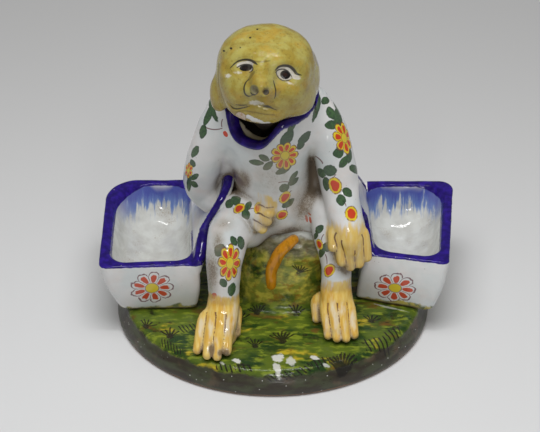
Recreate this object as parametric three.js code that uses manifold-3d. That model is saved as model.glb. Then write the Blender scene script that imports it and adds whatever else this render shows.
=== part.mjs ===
// Tin-glazed earthenware monkey seated on a grassy oval plinth between two open salts.
// The figure is built up from thrown, press-moulded and rolled pieces that the potter luted together.
// Its head is a separate hollow piece that rocks on a pin in the neck and lifts out with it.
// Millimetres. +X is to the right as the monkey is faced, +Y to its back, +Z up.
// The origin is under the middle of the whole object, on the table.
import * as THREE from 'three';
import { LoftGeometry } from 'three/addons/geometries/LoftGeometry.js';
import { mergeVertices } from 'three/addons/utils/BufferGeometryUtils.js';
import Module from 'manifold-3d';

const wasm = await Module();
wasm.setup();

// Clearances and fineness

const GAP = 0.3;
const ROOM = 0.45;
const LIMB_SIDES = 10;
const DIGIT_SIDES = 6;
const RING_SIDES = 36;
const CROWN = 0.3;
const TORSO_SIDES = 28;

// Plinth: an oval slab, hollow underneath, standing on a foot rim

const PLINTH = {
  x: -4, halfWidth: 81, halfDepth: 71, height: 13, batter: 5, bandTop: 9.5,
  footRim: 9, floor: 6.5,
};

// Mound: the rock that the monkey sits on

const MOUND = { x: 2, y: 9, halfWidth: 25, halfDepth: 22, height: 35.5 };

// Body: a hollow pear from the seat to the neck, open at the top

const BODY = {
  wall: 4.5, cavityFloor: 56, seat: 40,
  waist: 19, waistDepth: 22, hip: 20.5, chest: 25.5, chestDepth: 20.5, leanX: -5, backY: 7.5,
};

// Lip: the blue collar round the neck opening, with a deep dip under the chin

const LIP = {
  x: -5, y: 6, halfWidth: 23.5, halfDepth: 22.5, height: 129.6,
  tilt: 5.3, tiltAngle: 80, dip: 13.5, dipAngle: -120, dipSpread: 34,
  flare: 1.4, width: 6.4, thickness: 4, seatGap: 0.5, clearAbove: 14,
};

// Arms and legs: centre line points with the radius at each. The lower half starts inside the round
// end of the upper half, at the elbow or knee.

const RIGHT_ARM = {
  upper: [
    [-27, 8, 117, 9.3], [-32.5, 6.5, 103, 9.9], [-37.5, 7, 88, 9.3], [-40.5, 10, 74, 8.7],
    [-38, 13, 64, 8.4],
  ],
  lower: [[-38, 13, 64, 7.8], [-31, 6, 62.5, 8.1], [-24, -2, 66, 7.7], [-17.5, -9, 70, 6.9]],
};
const LEFT_ARM = {
  upper: [[15.5, 9, 119, 9], [21.5, 5, 108, 10.2], [26, 4, 94, 10], [29.5, 5.5, 82.5, 9.3]],
  lower: [[29.5, 5.5, 82.5, 8.6], [28.5, -3, 76.5, 9.2], [31, -10.5, 69.5, 8.9], [33, -15, 64, 8.4]],
};
const RIGHT_LEG = {
  upper: [[-9, 7, 49, 12.5], [-18, -4, 56, 12], [-25, -14.5, 59.5, 11]],
  lower: [[-25, -14.5, 59.5, 10.2], [-28, -22, 50, 9.4], [-28.5, -25, 39, 8.3], [-28.5, -27, 29, 7.6]],
};
const LEFT_LEG = {
  upper: [[12, 6, 52, 12.5], [18, 1.5, 59, 11.5], [22.3, -3, 63, 10.5]],
  lower: [[22.3, -3, 63, 9.7], [25, -9.5, 53.5, 9.2], [27.4, -15, 41.5, 7.9], [27.8, -19, 32.5, 7.6]],
};
const TAIL = [
  [7, -1, 46, 3.1], [1.5, -7, 43.5, 3], [-2.5, -11.5, 39.5, 2.9], [-4, -14.5, 33.5, 2.8],
  [-3.8, -15.8, 27.5, 2.6], [-2.8, -16.4, 23, 2.1],
];

// Hands and feet: each digit runs from its root over its knuckle to its tip

const FINGER = { root: 3.2, knuckle: 2.9, tip: 2.0 };
const TOE = { root: 5, knuckle: 3.4, tip: 2.3 };
const RIGHT_HAND = {
  palm: [[-17, -9.5, 70, 5.8], [-12, -12, 69.5, 6.2]],
  knuckles: [[-9.5, -9.5, 74], [-8.5, -12.5, 71.5], [-9.5, -14.5, 68.5], [-11.5, -15.5, 66]],
  tips: [[-4.5, -11, 73.2], [-3.8, -14, 68.6], [-5.5, -16.2, 64.4], [-8.8, -17, 62.2]],
};
const LEFT_HAND = {
  palm: [[33.2, -15.5, 63.5, 7.4], [33.8, -18.3, 59.5, 7.2], [34.2, -19.4, 55, 6]],
  knuckles: [[26.6, -17, 62], [29, -19.5, 60], [33, -21, 59.5], [37, -20, 59.5], [40, -17.5, 60.5]],
  tips: [[25.9, -21.3, 55.6], [30.3, -23, 47], [34.4, -23, 43], [39, -22, 45], [43, -20, 47.2]],
};
const RIGHT_FOOT = {
  x: -30.3, y: -37, halfWidth: 9, halfLength: 14, ankle: [-28.7, -28.5], ankleRadius: 6.4, top: 29,
  knuckles: [
    [-38.6, -37.5, 20.6], [-34.2, -38.5, 22], [-30.2, -38, 22.3], [-26.3, -36.5, 22], [-22.8, -31, 20.5],
  ],
  tips: [
    [-41.3, -53.7, 15.9], [-36.5, -57.8, 16], [-31.5, -58.6, 16], [-26.8, -54.9, 16], [-22.1, -41, 15.9],
  ],
};
const LEFT_FOOT = {
  x: 28.7, y: -29, halfWidth: 8.6, halfLength: 12, ankle: [27.6, -20.5], ankleRadius: 6.8, top: 31,
  knuckles: [
    [22.8, -31, 22], [26.2, -32, 23], [30.1, -31.5, 23], [34.3, -29.5, 22], [18.6, -22.5, 20.5],
  ],
  tips: [
    [23.6, -42.9, 15.9], [27.8, -45.2, 16], [32.3, -45.2, 16], [36.4, -42.3, 15.9], [17.9, -30, 15.9],
  ],
};

// Salts: open boxes with rounded wells; corners run front inner, front outer, back outer, back inner

const SALT = { wall: 4.6, rimHeight: 42, backRise: 1.2, floor: 21.5, belly: 1.2, wellRound: 13 };
const RIGHT_SALT = {
  side: -1,
  rim: [[-41, -18.5], [-91.5, -21.5], [-92, 52.5], [-45, 52.5]],
  foot: [[-45, -16.5], [-82, -17.5], [-80, 46], [-49, 46]],
  rounds: [3, 5, 17, 8],
};
const LEFT_SALT = {
  side: 1,
  rim: [[44.5, -10.3], [84.5, -18], [92, 51.5], [41, 51.5]],
  foot: [[38.5, -9], [75.5, -17], [80, 45], [46.5, 45]],
  rounds: [3, 5, 9, 8],
};

// Wing: the upright inner side of each salt, swept up to the armpit and down to the back again.
// Each point is a step back from the salt's front inner corner, a step inward and a rise.

const WING = {
  thickness: 4.6,
  edge: [
    [1.5, 0.3, 2.2], [5, 1.8, 7.8], [7.5, 2.6, 13], [9, 5, 18.5], [10.5, 8.5, 24.5], [12.5, 12, 30],
    [15.5, 14.8, 34.3], [19.5, 16.3, 36.8], [24, 16.7, 38], [29, 15.5, 35], [34, 12, 29],
    [39, 7.5, 20], [46, 3.5, 9], [54, 1.5, 2.4],
  ],
};

// Head: a hollow ball with a jaw, open below round the neck. Its heights are steps from the lip.
// The ears sit off its middle by a share of its half width, a step back and a rise.

const HEAD = {
  x: -7.4, y: -7, z: LIP.height + 17.6, bottom: LIP.height - 4.1,
  halfWidth: 23.6, halfDepth: 23, halfHeight: 22.4, wall: 3.5,
  neckY: -0.5, jaw: 1.3, chin: 1.5, squareness: 2.4,
};
const EARS = [
  { name: 'right_ear', share: -0.907, back: -1, rise: -7.4, out: 5.2, depth: 6.5, tall: 11, lean: 8 },
  { name: 'left_ear', share: 0.932, back: 6, rise: 2.3, out: 3.6, depth: 6.5, tall: 9, lean: -8 },
];

// Rocker: the neck stem under the head, its weight and the pin through it

const ROCKER = {
  pinRadius: 1.6, pinY: 0.2, pinZ: HEAD.bottom - 4, pinBite: 3, pinHeadroom: 30,
  neckRadius: 9.2, neckTop: HEAD.bottom + 5, rodRadius: 3.2, weightX: -6, weightY: 8.2,
  weightTop: HEAD.bottom - 33, weightHeight: 25, weightRadius: 9, socket: 6,
};

// Colours and finishes of the fired pieces

const GLAZE = { white: 0xe4e3e1, blue: 0x20108a, ochre: 0xb39a3e, hand: 0xdca94a, grass: 0x5c6a2c };
const BISCUIT = 0xc9a987;
const IRON = 0x55504a;

// Small tools for rings, lofts and cuts

const at = (x, y, z) => new THREE.Vector3(x, y, z);
const radians = THREE.MathUtils.degToRad;

function ovalRing(x, y, z, rx, ry, sides = RING_SIDES) {
  const ring = [];
  for (let i = 0; i < sides; i += 1) {
    const a = (i / sides) * 2 * Math.PI;
    ring.push(at(x + rx * Math.cos(a), y + ry * Math.sin(a), z));
  }
  return ring;
}

function solidOf(geometry) {
  const bare = new THREE.BufferGeometry().copy(geometry);
  bare.deleteAttribute('normal');
  bare.deleteAttribute('uv');
  const merged = mergeVertices(bare, 1e-4);
  return new wasm.Manifold(new wasm.Mesh({
    numProp: 3,
    vertProperties: new Float32Array(merged.attributes.position.array),
    triVerts: new Uint32Array(merged.index.array),
  }));
}

// A hollow piece is one loft that goes up the outside and down the inside, or the other way round.
// The last ring of a hollow steps back by CROWN, so that its floor is a little crowned.

function loft(rings, capped = true) {
  return solidOf(new LoftGeometry(rings, { capStart: capped, capEnd: capped }));
}

// Pressed clay has no pinholes or loose slivers, so only the main body of a join or cut is kept

function mainBody(solid) {
  return solid.decompose().reduce((most, next) => (next.volume() > most.volume() ? next : most));
}

function joined(solids) {
  return mainBody(solids.reduce((all, next) => all.add(next)));
}

function cutBy(solid, others) {
  return mainBody(others.reduce((left, other) => left.subtract(other), solid));
}

// A round roll of clay along its points, rounded at both ends, with two rings to each step

function roll(points, grow = 0, sides = LIMB_SIDES) {
  const path = new THREE.CatmullRomCurve3(points.map(([x, y, z]) => at(x, y, z)));
  const last = points.length - 1;
  const count = last * 2;
  const radiusAt = (t) => {
    const k = Math.min(Math.floor(t * last), last - 1);
    return THREE.MathUtils.lerp(points[k][3], points[k + 1][3], t * last - k) + grow;
  };
  const hint = at(0.25, 1, 0.1);
  const ring = (t, along, shrink) => {
    const radius = radiusAt(t);
    const direction = path.getTangent(t);
    const centre = path.getPoint(t).addScaledVector(direction, along * radius);
    const u = hint.clone().addScaledVector(direction, -hint.dot(direction)).normalize();
    const w = direction.clone().cross(u);
    return Array.from({ length: sides }, (_, i) => {
      const a = (i / sides) * 2 * Math.PI;
      return centre.clone()
        .addScaledVector(u, radius * shrink * Math.cos(a))
        .addScaledVector(w, radius * shrink * Math.sin(a));
    });
  };
  const ends = [72, 36].map((a) => [Math.sin(radians(a)), Math.cos(radians(a))]);
  const rings = ends.map(([along, shrink]) => ring(0, -along, shrink));
  for (let i = 0; i <= count; i += 1) rings.push(ring(i / count, 0, 1));
  ends.reverse().forEach(([along, shrink]) => rings.push(ring(1, along, shrink)));
  return loft(rings);
}

function limb({ upper, lower }, grow = 0) {
  return joined([roll(upper, grow), roll(lower, grow)]);
}

// Plinth and mound

function plinth() {
  const { x, halfWidth, halfDepth, height, batter, bandTop, footRim, floor } = PLINTH;
  const ring = (inset, z) => ovalRing(x, 0, z, halfWidth - inset, halfDepth - inset);
  return loft([
    ring(footRim + 4, floor - CROWN), ring(footRim + 1.5, floor), ring(footRim, 0),
    ring(0.8, 0), ring(0, 1.5), ring(0.4, 3.5),
    ring(batter * 0.8, bandTop), ring(batter, height - 1.2), ring(batter + 1.8, height),
  ]);
}

const ROUNDED_HEAP = [[1, 0], [0.97, 0.2], [0.9, 0.45], [0.78, 0.68], [0.58, 0.87], [0.3, 0.98]];

function mound(grow = 0) {
  const { x, y, halfWidth, halfDepth, height } = MOUND;
  const base = PLINTH.height + GAP;
  return loft(ROUNDED_HEAP.map(([share, rise]) => ovalRing(
    x, y, base + height * rise + (rise ? grow : 0),
    halfWidth * share + grow, halfDepth * share + grow, TORSO_SIDES,
  )));
}

// Body and lip

function lipHeight(angle) {
  const turn = THREE.MathUtils.euclideanModulo(angle - LIP.dipAngle + 180, 360) - 180;
  const dip = LIP.dip * Math.exp(-((turn / LIP.dipSpread) ** 4));
  return LIP.height + LIP.tilt * Math.cos(radians(angle - LIP.tiltAngle)) - dip;
}

function lipRing(out, drop) {
  return Array.from({ length: TORSO_SIDES }, (_, i) => {
    const angle = (i / TORSO_SIDES) * 360;
    const a = radians(angle);
    return at(
      LIP.x + (LIP.halfWidth + out) * Math.cos(a),
      LIP.y + (LIP.halfDepth + out) * Math.sin(a),
      lipHeight(angle) - drop,
    );
  });
}

function blendRings(low, high, share) {
  return low.map((point, i) => point.clone().lerp(high[i], share));
}

// Heights from the seat to the shoulders, with centre and half sizes

function bodyStations() {
  const { seat, waist, waistDepth, hip, chest, chestDepth, leanX, backY } = BODY;
  return [
    [seat, 0, backY + 4.5, hip * 0.66, waistDepth * 0.5],
    [seat + 6, 0, backY + 3.5, hip * 0.93, waistDepth * 0.66],
    [seat + 14, leanX * 0.2, backY + 2, hip, waistDepth * 0.87],
    [seat + 22, leanX * 0.5, backY + 1, waist + 0.5, waistDepth * 0.97],
    [seat + 33, leanX * 0.8, backY + 0.5, waist, waistDepth],
    [seat + 46, leanX, backY, waist + 0.8, waistDepth],
    [seat + 57, leanX * 1.15, backY, (waist + chest) / 2, (waistDepth + chestDepth) / 2],
    [seat + 67, leanX * 1.2, backY - 0.5, chest, chestDepth],
  ];
}

function body(grow = 0) {
  const drop = LIP.thickness + LIP.seatGap;
  const outer = bodyStations().map(([z, x, y, rx, ry]) => ovalRing(
    x, y, z, rx + grow, ry + grow, TORSO_SIDES,
  ));
  outer[0].forEach((point) => { point.z -= grow; });
  const lipOuter = lipRing(grow, drop);
  const shoulder = blendRings(outer[outer.length - 1], lipOuter, 0.55);
  const shell = [...outer, shoulder, lipOuter];
  if (grow) {
    const collar = LIP.flare + grow;
    return loft([...shell, lipRing(collar, drop - 1), lipRing(collar, -LIP.clearAbove)]);
  }
  const { wall, cavityFloor } = BODY;
  const inner = bodyStations()
    .filter(([z]) => z > cavityFloor)
    .map(([z, x, y, rx, ry]) => ovalRing(x, y, z, rx - wall, ry - wall, TORSO_SIDES));
  const lipInner = lipRing(-wall, drop);
  const innerShoulder = blendRings(inner[inner.length - 1], lipInner, 0.55);
  const [, x, y, rx, ry] = bodyStations()[2];
  const floorRings = [[CROWN, 0.4], [0, 0.62], [2.5, 0.9]].map(([rise, share]) => ovalRing(
    x, y, cavityFloor + rise, (rx - wall) * share, (ry - wall) * share, TORSO_SIDES,
  ));
  return loft([...shell, lipInner, innerShoulder, ...inner.reverse(), ...floorRings.reverse()]);
}

// The lip's section is a flattened round, swept once round the neck opening

function lip() {
  const points = 10;
  const rings = [];
  for (let k = 0; k <= points; k += 1) {
    const a = ((k % points) / points) * 2 * Math.PI;
    const out = LIP.flare + (LIP.width / 2) * (Math.cos(a) - 1);
    rings.push(lipRing(out, (LIP.thickness / 2) * (1 - Math.sin(a))));
  }
  return loft(rings, false);
}

// Open-topped grooves inside the neck that the pin's ends drop into

function pinSpan() {
  const across = Math.sqrt(1 - ((ROCKER.pinY - LIP.y) / (LIP.halfDepth - BODY.wall)) ** 2);
  const reach = (LIP.halfWidth - BODY.wall) * across + ROCKER.pinBite;
  return { middle: LIP.x, half: reach };
}

function pinRod(radius, half) {
  const rod = new THREE.CylinderGeometry(radius, radius, 2 * half, 20);
  rod.rotateZ(Math.PI / 2);
  rod.translate(pinSpan().middle, ROCKER.pinY, ROCKER.pinZ);
  return solidOf(rod);
}

function pinGrooves() {
  const { pinRadius, pinY, pinZ, pinHeadroom } = ROCKER;
  const { middle, half } = pinSpan();
  const way = new THREE.BoxGeometry(2 * (half + GAP), 2 * (pinRadius + GAP), pinHeadroom);
  way.translate(middle, pinY, pinZ + pinHeadroom / 2);
  return pinRod(pinRadius + GAP, half + GAP).add(solidOf(way));
}

// Hands and feet

function digits(knuckles, tips, roots, size, grow) {
  return knuckles.map(([x, y, z], i) => roll([
    [...roots[i], size.root], [x, y, z, size.knuckle], [...tips[i], size.tip],
  ], grow, DIGIT_SIDES));
}

function hand({ palm, knuckles, tips }, grow = 0) {
  const wrist = palm[palm.length - 1].slice(0, 3);
  const roots = knuckles.map((knuckle) => knuckle.map((value, axis) => (value + wrist[axis]) / 2));
  return joined([roll(palm, grow), ...digits(knuckles, tips, roots, FINGER, grow)]);
}

function foot(shape, grow = 0) {
  const { x, y, halfWidth, halfLength, ankle, ankleRadius, top, knuckles, tips } = shape;
  const ground = PLINTH.height + GAP;
  const [ax, ay] = ankle;
  const levels = [[0, 0, 0.93], [0.12, 0.02, 1], [0.45, 0.25, 0.88], [0.75, 0.75, 0.6], [1, 1, 0]];
  const sole = loft(levels.map(([rise, shift, size]) => ovalRing(
    THREE.MathUtils.lerp(x, ax, shift), THREE.MathUtils.lerp(y, ay, shift),
    THREE.MathUtils.lerp(ground, top, rise) + (rise === 1 ? grow : 0),
    THREE.MathUtils.lerp(ankleRadius, halfWidth, size) + grow,
    THREE.MathUtils.lerp(ankleRadius, halfLength, size) + grow, LIMB_SIDES * 2,
  )));
  const roots = knuckles.map(([kx, ky]) => [
    (kx + ax) / 2, (ky + ay) / 2, THREE.MathUtils.lerp(ground, top, 0.5),
  ]);
  return joined([sole, ...digits(knuckles, tips, roots, TOE, grow)]);
}

// Salts and wings

function insetCorners(corners, inset) {
  return corners.map(([x, y], i) => {
    const [px, py] = corners[(i + 3) % 4];
    const [nx, ny] = corners[(i + 1) % 4];
    const before = new THREE.Vector2(px - x, py - y).normalize();
    const after = new THREE.Vector2(nx - x, ny - y).normalize();
    const slant = Math.abs(before.cross(after));
    const move = before.add(after).multiplyScalar(inset / slant);
    return [x + move.x, y + move.y];
  });
}

function blendCorners(low, high, share) {
  return low.map(([x, y], i) => [
    THREE.MathUtils.lerp(x, high[i][0], share), THREE.MathUtils.lerp(y, high[i][1], share),
  ]);
}

// A four-cornered ring with rounded corners, six points to a corner and two to a side.
// It runs counter-clockwise from above.

function saltRing(salt, corners, rounds, z, rise = 0) {
  const ring = [];
  const order = salt.side > 0 ? [0, 1, 2, 3] : [3, 2, 1, 0];
  order.forEach((index, k) => {
    const corner = new THREE.Vector2(...corners[index]);
    const before = new THREE.Vector2(...corners[order[(k + 3) % 4]]);
    const after = new THREE.Vector2(...corners[order[(k + 1) % 4]]);
    const start = corner.clone().lerp(before, Math.min(rounds[index] / corner.distanceTo(before), 0.45));
    const end = corner.clone().lerp(after, Math.min(rounds[index] / corner.distanceTo(after), 0.45));
    const bend = new THREE.QuadraticBezierCurve(start, corner, end);
    bend.getPoints(5).forEach((point) => ring.push(point));
    const next = order[(k + 1) % 4];
    const far = after.clone().lerp(corner, Math.min(rounds[next] / corner.distanceTo(after), 0.45));
    [1 / 3, 2 / 3].forEach((share) => ring.push(end.clone().lerp(far, share)));
  });
  const front = Math.min(...ring.map((point) => point.y));
  const back = Math.max(...ring.map((point) => point.y));
  return ring.map(({ x, y }) => at(x, y, z + rise * ((y - front) / (back - front))));
}

function salt(shape, grow = 0) {
  const { rim, foot: base, rounds } = shape;
  const { wall, rimHeight, backRise, floor, belly, wellRound } = SALT;
  const ground = PLINTH.height + GAP;
  const ring = (share, inset, z, extra = 0, rise = 0) => saltRing(
    shape, insetCorners(blendCorners(base, rim, share), inset - grow), rounds.map((r) => r + extra), z, rise,
  );
  const tall = rimHeight - ground;
  const outside = [
    ring(0, 1.6, ground), ring(0.04, 0.3, ground + 1.4), ring(0.3, -belly * 0.7, ground + tall * 0.28),
    ring(0.65, -belly, ground + tall * 0.62), ring(1, 0, rimHeight - 1 + grow, 0, backRise),
    ring(1, 0.9, rimHeight + grow, 0, backRise),
  ];
  if (grow) return loft(outside);
  const inside = [
    ring(1, wall - 0.7, rimHeight, 3, backRise), ring(1, wall, rimHeight - 1, 3, backRise),
    ring(0.8, wall + 0.6, rimHeight - tall * 0.28, 6), ring(0.5, wall + 2, rimHeight - tall * 0.5, 9),
    ring(0.3, wall + 5.5, floor + 2, wellRound), ring(0.2, wall + 10.5, floor, wellRound),
    ring(0.2, wall + 12, floor + CROWN, wellRound),
  ];
  return loft([...outside, ...inside]);
}

// One slice of the wing across its length: a leaning plate with a rounded top

function wingSlice(x, y, low, topX, top, half) {
  const lean = at(topX - x, 0, top - low).normalize();
  const side = at(lean.z, 0, -lean.x);
  const foot = at(x, y, low);
  const head = at(topX, y, top - half);
  const waist = foot.clone().lerp(head, 0.5);
  const points = [
    foot.clone().addScaledVector(side, half),
    waist.clone().addScaledVector(side, half),
    head.clone().addScaledVector(side, half),
    head.clone().addScaledVector(side, half * 0.7).addScaledVector(lean, half * 0.75),
    head.clone().addScaledVector(lean, half),
    head.clone().addScaledVector(side, -half * 0.7).addScaledVector(lean, half * 0.75),
    head.clone().addScaledVector(side, -half),
    waist.clone().addScaledVector(side, -half),
    foot.clone().addScaledVector(side, -half),
  ];
  points.forEach((point) => { point.z = Math.max(point.z, low); });
  points[0].z = low;
  points[points.length - 1].z = low;
  return points.reverse();
}

function wing(shape) {
  const { side, rim } = shape;
  const half = WING.thickness / 2;
  const [frontX, frontY] = rim[0];
  const [backX, backY] = rim[3];
  const rings = WING.edge.map(([back, inward, rise]) => {
    const y = frontY + back;
    const along = back / (backY - frontY);
    const x = THREE.MathUtils.lerp(frontX, backX, along) + side * (half + 0.2);
    const low = SALT.rimHeight + SALT.backRise * along + GAP;
    const topX = frontX - side * inward + (inward < 4 ? x - frontX : side * half) * 0.6;
    return wingSlice(x, y, low, topX, low + rise, Math.min(half, 0.45 * rise + 0.9));
  });
  return loft(rings);
}

// Head, ears and the rocker under them.
// Levels are shares of the half height, up or down from the middle of the head.

const OUTER_LEVELS = [-0.84, -0.72, -0.52, -0.27, 0, 0.27, 0.52, 0.73, 0.89, 0.975];
const INNER_LEVELS = [-0.72, -0.45, 0, 0.45, 0.75, 0.93];

function headRing(z, inset) {
  const { x, y, halfWidth, halfDepth, halfHeight, bottom, neckY, jaw, chin, squareness } = HEAD;
  const height = (z - HEAD.z) / (halfHeight - inset + (z < HEAD.z ? chin : 0));
  const share = Math.max(1 - Math.abs(height) ** squareness, 0.01) ** (1 / squareness);
  const low = THREE.MathUtils.smoothstep(-height, 0.2, 1);
  const neck = THREE.MathUtils.smoothstep(HEAD.z - z, 8, HEAD.z - bottom);
  const grow = jaw * low;
  const cy = THREE.MathUtils.lerp(y - grow, neckY, neck);
  return ovalRing(
    x, cy, z, (halfWidth - inset) * share + grow, (halfDepth - inset) * share + grow, TORSO_SIDES,
  );
}

function headShell() {
  const { x, y, z, halfHeight, wall, bottom, neckY } = HEAD;
  const opening = ROCKER.neckRadius + GAP;
  const outside = OUTER_LEVELS.map((share) => headRing(z + halfHeight * share, 0));
  const inside = INNER_LEVELS.map((share) => headRing(z + (halfHeight - wall) * share, wall));
  const neckRing = (radius, level) => ovalRing(x, neckY, level, radius, radius, TORSO_SIDES);
  const crown = inside[inside.length - 1].map((point) => point.clone().lerp(at(x, y, point.z), 0.3));
  crown.forEach((point) => { point.z -= CROWN; });
  return loft([
    crown, ...inside.reverse(), neckRing(opening, bottom + 2.5), neckRing(opening, bottom + 0.5),
    neckRing(opening + 1.2, bottom), neckRing(opening + 3, bottom + 0.6), ...outside,
  ]);
}

function ear({ share, back, rise, out, depth, tall, lean }) {
  const lobe = new THREE.SphereGeometry(1, 16, 12);
  lobe.scale(out, depth, tall);
  lobe.rotateY(radians(lean));
  lobe.translate(HEAD.x + share * HEAD.halfWidth, HEAD.y + back, HEAD.z + rise);
  return solidOf(lobe).subtract(headCore(GAP));
}

function headCore(grow) {
  const { z, halfHeight } = HEAD;
  return loft(OUTER_LEVELS.map((share) => headRing(z + halfHeight * share, -grow)));
}

function neckStem() {
  const {
    neckRadius, neckTop, rodRadius, pinRadius, pinY, pinZ, weightX, weightY, weightTop, socket,
  } = ROCKER;
  const levels = [
    [neckTop, neckRadius], [HEAD.bottom, neckRadius], [pinZ - 3, neckRadius - 0.6],
    [pinZ - 8, rodRadius + 2.6], [pinZ - 12, rodRadius], [weightTop, rodRadius],
    [weightTop - socket + GAP, rodRadius],
  ];
  const neckSwing = THREE.MathUtils.lerp(HEAD.neckY, pinY, 0.5);
  const rings = levels.map(([z, radius]) => {
    const along = THREE.MathUtils.clamp((pinZ - z) / (pinZ - weightTop), 0, 1);
    const y = z > HEAD.bottom - 1 ? HEAD.neckY : THREE.MathUtils.lerp(neckSwing, weightY, along);
    return ovalRing(THREE.MathUtils.lerp(HEAD.x, weightX, along), y, z, radius, radius, LIMB_SIDES * 2);
  });
  return loft(rings.reverse()).subtract(pinRod(pinRadius + GAP, 2 * neckRadius));
}

function counterweight() {
  const { weightX, weightY, weightTop, weightHeight, weightRadius, rodRadius, socket } = ROCKER;
  const ring = (radius, z) => ovalRing(weightX, weightY, z, radius, radius, LIMB_SIDES * 2);
  const low = weightTop - weightHeight;
  return loft([
    ring(weightRadius * 0.62, low), ring(weightRadius, low + 4), ring(weightRadius, weightTop - 4),
    ring(weightRadius * 0.62, weightTop), ring(rodRadius + GAP, weightTop),
    ring(rodRadius + GAP, weightTop - socket), ring(rodRadius / 2, weightTop - socket + CROWN / 2),
  ]);
}

// Assembly

const assembly = new THREE.Group();

function place(name, solid, color, roughness = 0.2, metalness = 0) {
  const mesh = solid.getMesh();
  const geometry = new THREE.BufferGeometry();
  geometry.setAttribute('position', new THREE.BufferAttribute(mesh.vertProperties, 3));
  geometry.setIndex(new THREE.BufferAttribute(mesh.triVerts, 1));
  geometry.computeVertexNormals();
  const part = new THREE.Mesh(geometry, new THREE.MeshStandardMaterial({ color, roughness, metalness }));
  part.name = name;
  assembly.add(part);
}

const bodyRoom = body(ROOM);
const moundRoom = mound(ROOM);
const rightLegRoom = limb(RIGHT_LEG, ROOM);
const leftLegRoom = limb(LEFT_LEG, ROOM);
const rightArmRoom = limb(RIGHT_ARM, ROOM);
const leftArmRoom = limb(LEFT_ARM, ROOM);
const leftSaltRoom = salt(LEFT_SALT, ROOM);
const grooves = pinGrooves();

place('base_plinth', plinth(), GLAZE.grass, 0.3);
place('seat_mound', cutBy(mound(), [bodyRoom]), GLAZE.grass, 0.3);
place('body_pot', body().subtract(grooves), GLAZE.white);
place('neck_lip', lip().subtract(grooves), GLAZE.blue);

place('right_leg', cutBy(limb(RIGHT_LEG), [bodyRoom, moundRoom]), GLAZE.white);
place('left_leg', cutBy(limb(LEFT_LEG), [bodyRoom, moundRoom]), GLAZE.white);
place('right_foot', cutBy(foot(RIGHT_FOOT), [rightLegRoom]), GLAZE.hand);
place('left_foot', cutBy(foot(LEFT_FOOT), [leftLegRoom]), GLAZE.hand);

place('right_arm', cutBy(limb(RIGHT_ARM), [bodyRoom, rightLegRoom]), GLAZE.white);
place('left_arm', cutBy(limb(LEFT_ARM), [bodyRoom, leftLegRoom]), GLAZE.white);
place('right_hand', cutBy(hand(RIGHT_HAND), [rightArmRoom, bodyRoom, rightLegRoom]), GLAZE.hand);
place('left_hand', cutBy(hand(LEFT_HAND), [leftArmRoom, leftLegRoom, leftSaltRoom]), GLAZE.hand);
place('tail', cutBy(roll(TAIL, 0, DIGIT_SIDES), [bodyRoom, moundRoom, leftLegRoom]), GLAZE.hand);

place('right_salt', cutBy(salt(RIGHT_SALT), [rightLegRoom]), GLAZE.white);
place('left_salt', cutBy(salt(LEFT_SALT), [leftLegRoom]), GLAZE.white);
place('right_wing', cutBy(wing(RIGHT_SALT), [rightArmRoom, bodyRoom, rightLegRoom]), GLAZE.blue);
place('left_wing', cutBy(wing(LEFT_SALT), [leftArmRoom, bodyRoom, leftLegRoom]), GLAZE.blue);

place('head_shell', headShell(), GLAZE.ochre);
EARS.forEach((spec) => place(spec.name, ear(spec), GLAZE.ochre));
place('neck_stem', neckStem(), BISCUIT, 0.8);
place('counterweight', counterweight(), IRON, 0.7, 0.7);
place('pivot_pin', pinRod(ROCKER.pinRadius, pinSpan().half), IRON, 0.5, 0.8);

export default assembly;
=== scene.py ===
import bpy
import math
import numpy as np
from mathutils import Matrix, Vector


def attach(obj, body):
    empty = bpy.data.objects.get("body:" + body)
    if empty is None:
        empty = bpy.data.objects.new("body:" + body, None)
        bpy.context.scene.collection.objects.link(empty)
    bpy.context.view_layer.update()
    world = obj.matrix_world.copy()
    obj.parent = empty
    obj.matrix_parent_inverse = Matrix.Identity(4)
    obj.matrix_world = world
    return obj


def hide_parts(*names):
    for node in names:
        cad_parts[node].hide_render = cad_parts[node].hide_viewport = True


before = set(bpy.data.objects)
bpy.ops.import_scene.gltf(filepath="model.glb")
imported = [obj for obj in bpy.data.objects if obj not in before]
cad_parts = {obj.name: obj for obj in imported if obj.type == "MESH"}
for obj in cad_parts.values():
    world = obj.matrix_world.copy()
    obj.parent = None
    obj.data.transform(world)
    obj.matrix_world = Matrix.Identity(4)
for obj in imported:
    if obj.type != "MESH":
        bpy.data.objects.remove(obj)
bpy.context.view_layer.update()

# Camera. It stands in front of the monkey and looks down on it at 37 degrees through a long lens.
# Painted marks are placed through it, by where they lie in a picture of 540 by 432 points.
# Lengths in this file are millimetres until they reach a mesh.
MM = 0.001
FRAME_W, FRAME_H, LENS, SENSOR = 540.0, 432.0, 120.0, 36.0
TILT, DISTANCE, AIM = math.radians(37.0), 900.0, np.array([-5.5, -5.0, 62.0])
BACKWARD = np.array([0.0, -math.cos(TILT), math.sin(TILT)])
UPWARD = np.array([0.0, math.sin(TILT), math.cos(TILT)])
SIDEWAYS = np.array([1.0, 0.0, 0.0])
EYE = AIM + DISTANCE * BACKWARD
# Picture points in one unit of slope, and millimetres in one picture point at the object
ZOOM = FRAME_W * LENS / SENSOR
POINT = DISTANCE / ZOOM

lens = bpy.data.cameras.new("camera")
lens.lens, lens.sensor_width = LENS, SENSOR
camera = bpy.data.objects.new("camera", lens)
bpy.context.scene.collection.objects.link(camera)
camera.location = Vector(EYE * MM)
camera.rotation_euler = (math.pi / 2 - TILT, 0.0, 0.0)
bpy.context.scene.camera = camera


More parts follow.
